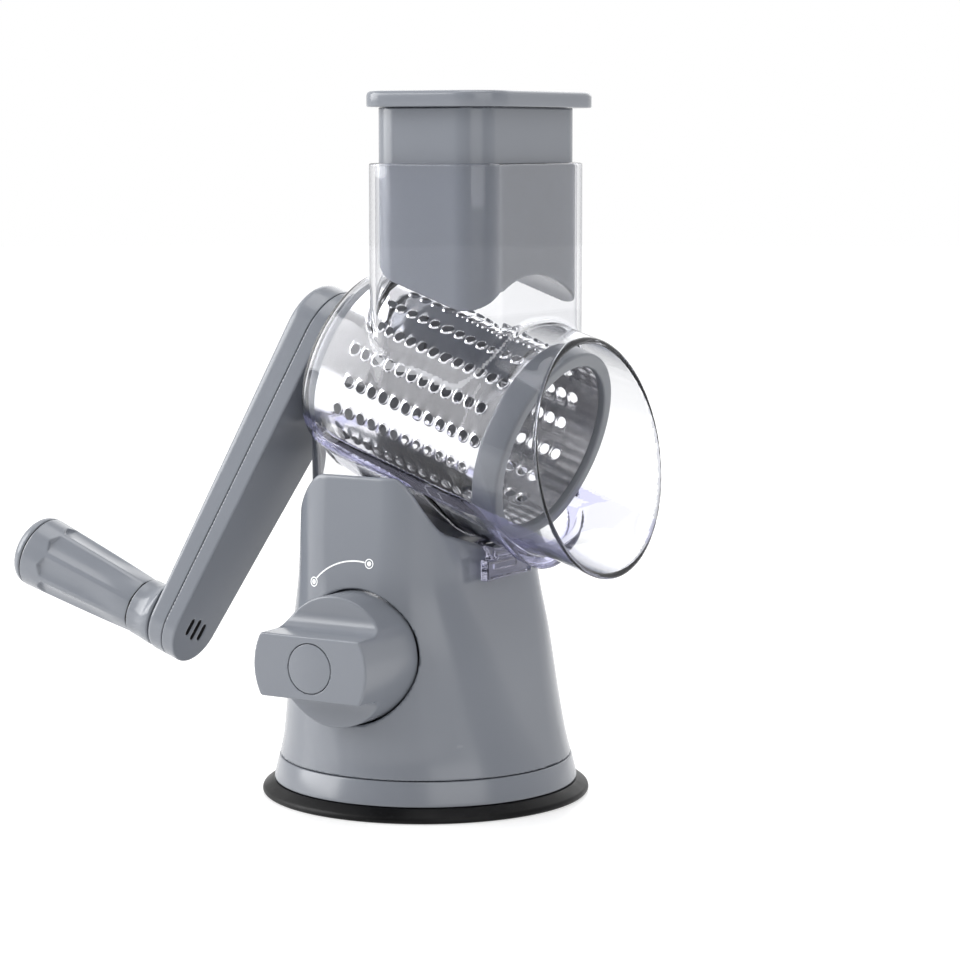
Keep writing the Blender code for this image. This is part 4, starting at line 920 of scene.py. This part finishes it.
def f_cover(s, y, b):
    o = d_arm(y, b)
    top = ARM_S0 - ARM_TAPER * reach(y, b)
    f = smax(o, s - top, 0.8)
    f = smax(f, SPLIT_F - s, 0.35)
    room = smax(o + 2.2, s - (top - 2.0), 1.0)
    f = np.maximum(f, -room)
    f = smax(f, -(np.sqrt(y * y + b * b) - 9.4), 0.5)
    d = (cos(ARM_ANG), sin(ARM_ANG))
    u = y * d[0] + b * d[1] - ARM_L - 1.0
    v = -y * d[1] + b * d[0]
    for k in range(3):
        w = v - (k - 1) * 5.0
        e = (3.6, 4.5, 3.6)[k]
        slot = np.sqrt(np.maximum(np.abs(u) - e + 1.4, 0) ** 2 + w * w) - 1.4
        f = smax(f, -np.maximum(slot, top - 3.4 - s), 0.3)
    for sg in (-1, 1):
        py, pb = 13.2 * sg * -sin(ARM_ANG), 13.2 * sg * cos(ARM_ANG)
        f = np.maximum(f, -np.maximum(np.sqrt((y - py) ** 2 + (b - pb) ** 2) - 1.7, s + 41.8))
    return f


arm_lo = (min(-ARM_R1, GY - ARM_R2) - 1.5, GB - ARM_R2 - 1.5)
arm_hi = (ARM_R1 + 1.5, ARM_R1 + 1.5)
ob = moulding("arm_visible", f_arm, (ARM_S1 - ARM_SWELL - 1.9, arm_lo[0], arm_lo[1]), (SPLIT_R + 1.2, arm_hi[0], arm_hi[1]), 0.62, GREY, tilted)
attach(ob, "crank")
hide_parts("crank_arm")
ob = moulding("cover_visible", f_cover, (SPLIT_F - 1.2, arm_lo[0], arm_lo[1]), (ARM_S0 + 1.2, arm_hi[0], arm_hi[1]), 0.55, GREY, tilted)
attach(ob, "crank")
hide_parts("crank_cover")
me = ob.data
me.materials.append(PAINTED_GAP_SHADE)
mid = np.empty(len(me.polygons) * 3)
me.polygons.foreach_get("center", mid)
mid = mid.reshape(-1, 3) / MM
ms = mid[:, 0] * CT - (mid[:, 2] - AXIS_Z) * ST
mb = mid[:, 0] * ST + (mid[:, 2] - AXIS_Z) * CT
mu = mid[:, 1] * cos(ARM_ANG) + mb * sin(ARM_ANG) - ARM_L - 1.0
mv = -mid[:, 1] * sin(ARM_ANG) + mb * cos(ARM_ANG)
# painted shade: faces down inside the three slots get the painted black
slot_shade_mask = (np.abs(mu) < 8.0) & (np.abs(mv) < 7.0) & (ms < ARM_S0 - ARM_TAPER * reach(mid[:, 1], mb) - 0.55)
me.polygons.foreach_set("material_index", slot_shade_mask.astype(np.int32))

COLLAR0, COLLAR1 = ARM_S1 - 2 * GAP, ARM_S1 - 2 * GAP - 12.1


def f_collar(s, y, b):
    r = np.sqrt((y - GY) ** 2 + (b - GB) ** 2)
    f = smin(r - 11.9 - 0.03 * (s - COLLAR1), COLLAR0 - s, 9.0)
    f = smax(f, s - COLLAR0, 0.3)
    f = smax(f, COLLAR1 - s, 0.5)
    f = smax(f, d_arm(y, b) + 0.35, 1.0)
    f = smax(f, r - 17.0, 0.5)
    return np.maximum(f, -(r - AXLE_R - 0.3))


ob = moulding("collar_visible", f_collar, (COLLAR1 - 1.2, GY - 19.0, GB - 19.0), (COLLAR0 + 1.2, GY + 19.0, GB + 19.0), 0.5,
              GREY, tilted)
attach(ob, "crank")
shade_gap(ob, COLLAR1 - 0.2, COLLAR1 + 0.3, 30.0, (GY, GB), 0.2)
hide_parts("grip_collar")


def grip_mesh():
    n, rings = 192, []
    stations = [0.0, 0.004, 0.01] + [0.02 + 0.78 * k / 44 for k in range(45)]
    stations += [0.80 + 0.075 * k / 24 for k in range(1, 25)] + [0.9, 0.93, 0.96, 0.985, 0.994, 1.0]
    for t in stations:
        s = GRIP_S0 + (GRIP_S1 - GRIP_S0) * t
        r = GRIP_R0 + (GRIP_R1 - GRIP_R0) * t ** 0.85
        edge = 0.35 * (1 - sqrt(max(0.0, 1 - (1 - min(1.0, t / 0.01)) ** 2))) + 0.25 * (1 - sqrt(max(0.0, 1 - (1 - min(1.0, (1 - t) / 0.008)) ** 2)))
        ring = []
        for j in range(n):
            a = 2 * pi * j / n
            # place across one flute, 0 at its middle and 1 at the ridge
            w = abs(((a * 8 / (2 * pi)) + 0.5) % 1.0 - 0.5) * 2
            width = 0.80
            floor = max(0.0, 1 - (w / width) ** 2) if w < width else 0.0
            # the tool leaves a scooped end that is deepest in the middle
            stop = 0.850 - 0.040 * (w / width)
            depth = 1.3 * smooth((stop - t) / 0.014) * (0.2 + 0.8 * smooth((t + 0.05) / 0.5))
            ring.append((s, (r - edge - depth * floor ** 0.8) * cos(a), (r - edge - depth * floor ** 0.8) * sin(a)))
        rings.append(ring)
    for s, r in ((GRIP_S1, 9.0), (-114.5, 9.0), (-114.5, AXLE_R + 0.35), (GRIP_S0, AXLE_R + 0.35)):
        rings.append([(s, r * cos(2 * pi * j / n), r * sin(2 * pi * j / n)) for j in range(n)])
    verts, faces = loft(rings, closed=True)
    return [(s, y + GY, b + GB) for s, y, b in verts], faces


ob = add_object("grip_visible", *on_axis(grip_mesh()), GREY, 45.0)
shade_gap(ob, GRIP_S0 - 0.3, GRIP_S0 + 0.5, 30.0, (GY, GB), -1.0)
shade_gap(ob, GRIP_S1 - 0.5, GRIP_S1 + 0.3, 30.0, (GY, GB), -1.0)
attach(ob, "grip")
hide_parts("grip")

e0 = GRIP_S1 - GAP
cap = [(0, e0 - 7.3)]
for k in range(1, 13):
    a = radians(90.0 * k / 12)
    cap.append((14.8 * sin(a) ** 0.9, e0 - 7.3 * cos(a) ** 0.8 if k < 12 else e0 - 0.9))
cap += [(14.7, e0 - 0.35), (14.4, e0 - 0.12), (8.7, e0), (8.7, e0 + 2.9), (7.2, e0 + 2.9), (7.2, e0 - 1.7), (0, e0 - 1.7)]
ob = add_object("grip_cap_visible", *on_axis(lathe(cap, 96, along='X', at=(GY, GB))), GREY, 50.0)
shade_gap(ob, e0 - 0.3, e0 + 4.0, 30.0, (GY, GB))
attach(ob, "grip")
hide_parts("grip_cap")


# ------------------------------------------------------------------ the pusher
def foot(x, y, up):
    r = 60.0
    return 162.0 + up - x * tan(TILT) + np.sqrt(np.maximum(r * r - y * y, 1.0)) / CT


def f_pusher(x, y, z):
    o = d_rrect(x - PU_CX, y, PU_HX, PU_HY, PU_R)
    f = smax(o, (foot(x, y, 0.0) - z) * 0.8, 1.6)
    f = smax(f, z - (PZ - GAP), 0.3)
    room = smax(d_rrect(x - PU_CX, y, PU_HX - 2.2, PU_HY - 2.2, PU_R - 2.2), (foot(x, y, 2.6) - z) * 0.8, 1.5)
    return smax(f, -room, 0.3)


ob = moulding("pusher_visible", f_pusher, (PU_CX - 27, -41.6, 188), (PU_CX + 27, 41.6, PZ + 1), 0.8, GREY)
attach(ob, "pusher")
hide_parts("pusher_body")

rings = []
for z in (-5.0, -0.02):
    rings.append([(x, y, z) for x, y in rrect(0, 0, PU_HX - 2.5, PU_HY - 2.5, PU_R - 2.5, 20, 6)])
# the underside carries a fine bead that stays clear of the hopper's rim
prof = [(0.0, 2.6), (0.0, 2.2), (-0.12, 1.9), (-0.18, 1.5), (-0.18, 0.7), (-0.1, 0.35), (0.1, 0.1), (0.4, 0.0)]
for k in range(7):
    a = radians(90.0 * k / 6)
    prof.append((LID_H - 2.0 + 2.0 * sin(a), 2.0 * (1 - cos(a))))
for z, g in prof:
    rings.append([(x, y, z) for x, y in rrect(LID_CX - PU_CX, 0, LID_HX - g, LID_HY - g, LID_R - g, 20, 6, LID_RR - g)])
for g in (6.0, 14.0, 22.0):
    rings.append([(x, y, LID_H) for x, y in rrect(LID_CX - PU_CX, 0, LID_HX - g, LID_HY - g, max(3.5, LID_R - g), 20, 6,
                                                  max(2.5, LID_RR - g))])
ob = add_object("lid_visible", *loft([[(x + PU_CX, y, z + PZ) for x, y, z in r] for r in rings]), GREY, 50.0)
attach(ob, "pusher")
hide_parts("pusher_lid")

# ------------------------------------- return spring, built at one length here; the real one closes up as the plunger rises
def spring(r, wire, z0, z1, turns, n=180, m=12):
    rings = []
    for i in range(n + 1):
        a = 2 * pi * turns * i / n
        climb = min(1.0, max(0.0, (i / n - 0.09) / 0.82))
        z = z0 + wire + (z1 - z0 - 2 * wire) * climb
        rings.append([((r + wire * cos(q)) * cos(a), (r + wire * cos(q)) * sin(a), z + wire * sin(q))
                      for q in (2 * pi * j / m for j in range(m))])
    return loft(rings)


ob = add_object("spring_visible", *spring(6.2, 0.55, 22.2, 37.7, 4.5), ZINC, 50.0)
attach(ob, "base")
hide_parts("return_spring")
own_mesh(ob)

# ---------------------------------------------- materials of the kept CAD nodes
KEPT = {"base_screw_1": ZINC, "base_screw_2": ZINC, "base_screw_3": ZINC, "base_screw_4": ZINC, "cam_bracket": DARK,
        "bracket_screw_1": ZINC, "bracket_screw_2": ZINC, "knob_screw": ZINC, "cam_shaft": ZINC,
        "plunger": DARK, "crank_plug": DARK, "crank_screw_1": ZINC, "crank_screw_2": ZINC, "grip_axle": ZINC,
        "grip_washer": ZINC, "grip_screw": ZINC}
for name, mat in KEPT.items():
    ob = frame["nodes"][name]
    if not ob.material_slots:
        ob.data.materials.append(mat)
    for slot in ob.material_slots:
        slot.material = mat

# ----------------------------------------------------------------- the setting
floor_mat, nt, b = shader("studio_floor", (0.52, 0.52, 0.52), 0.30)
b.inputs["Specular IOR Level"].default_value = 0.2
co = nt.nodes.new("ShaderNodeTexCoord").outputs["Object"]
nt.links.new(spread(nt, noise(nt, co, 3.0, 2.0), 0.28, 0.34), b.inputs["Roughness"])
b.inputs["Emission Color"].default_value = (1.0, 1.0, 1.0, 1.0)
b.inputs["Emission Strength"].default_value = 0.52
me = bpy.data.meshes.new("floor")
R = 6.0
ring = [(R * cos(2 * pi * k / 64), R * sin(2 * pi * k / 64), -0.0002) for k in range(64)]
me.from_pydata(ring, [], [tuple(range(64))])
me.materials.append(floor_mat)
floor = bpy.data.objects.new("floor", me)
bpy.context.scene.collection.objects.link(floor)


def lamp(name, at, target, size, power, colour=(1, 1, 1)):
    l = bpy.data.lights.new(name, 'AREA')
    l.shape = 'RECTANGLE'
    l.size, l.size_y = size
    l.energy = power
    l.color = colour
    o = bpy.data.objects.new(name, l)
    o.location = at
    o.rotation_euler = (Vector(target) - Vector(at)).to_track_quat('-Z', 'Y').to_euler()
    bpy.context.scene.collection.objects.link(o)
    return o


aim = (0.0, 0.0, 0.14)
lamp("key_left", (-1.6, -0.95, 0.95), aim, (1.6, 1.6), 46.0)
lamp("fill_right", (1.35, -0.9, 0.95), aim, (1.5, 1.7), 15.0)
lamp("top", (0.0, 0.0, 1.6), aim, (1.0, 1.0), 8.0)
lamp("rear", (-0.5, 1.5, 0.9), aim, (1.4, 1.0), 5.0)

w = bpy.data.worlds.new("studio")
bpy.context.scene.world = w
w.use_nodes = True
nt = w.node_tree
bg = nt.nodes["Background"]
co = nt.nodes.new("ShaderNodeTexCoord")
dot = nt.nodes.new("ShaderNodeVectorMath")
dot.operation = 'DOT_PRODUCT'
dot.inputs[1].default_value = (-0.62, 0.76, 0.18)
nt.links.new(co.outputs["Generated"], dot.inputs[0])
ramp = nt.nodes.new("ShaderNodeMapRange")
ramp.interpolation_type = 'SMOOTHSTEP'
ramp.inputs["From Min"].default_value = -0.75
ramp.inputs["From Max"].default_value = 0.55
ramp.inputs["To Min"].default_value = 0.26
ramp.inputs["To Max"].default_value = 1.0
nt.links.new(dot.outputs["Value"], ramp.inputs["Value"])
path = nt.nodes.new("ShaderNodeLightPath")
top_up = nt.nodes.new("ShaderNodeMath")
top_up.operation = 'MAXIMUM'
nt.links.new(ramp.outputs["Result"], top_up.inputs[0])
nt.links.new(path.outputs["Is Camera Ray"], top_up.inputs[1])
nt.links.new(top_up.outputs["Value"], bg.inputs["Strength"])
bg.inputs["Color"].default_value = (1.0, 1.0, 1.0, 1.0)

cam = bpy.data.cameras.new("camera")
cam.lens = 109.66
cam.sensor_width = 36.0
cam.clip_end = 50.0
camera = bpy.data.objects.new("camera", cam)
camera.location = (0.6140, -0.9891, 0.26173)
camera.rotation_euler = Euler((radians(83.32), 0.0, radians(30.75)))
bpy.context.scene.collection.objects.link(camera)
bpy.context.scene.camera = camera
bpy.context.scene.view_settings.view_transform = 'Standard'
bpy.context.scene.view_settings.look = 'None'
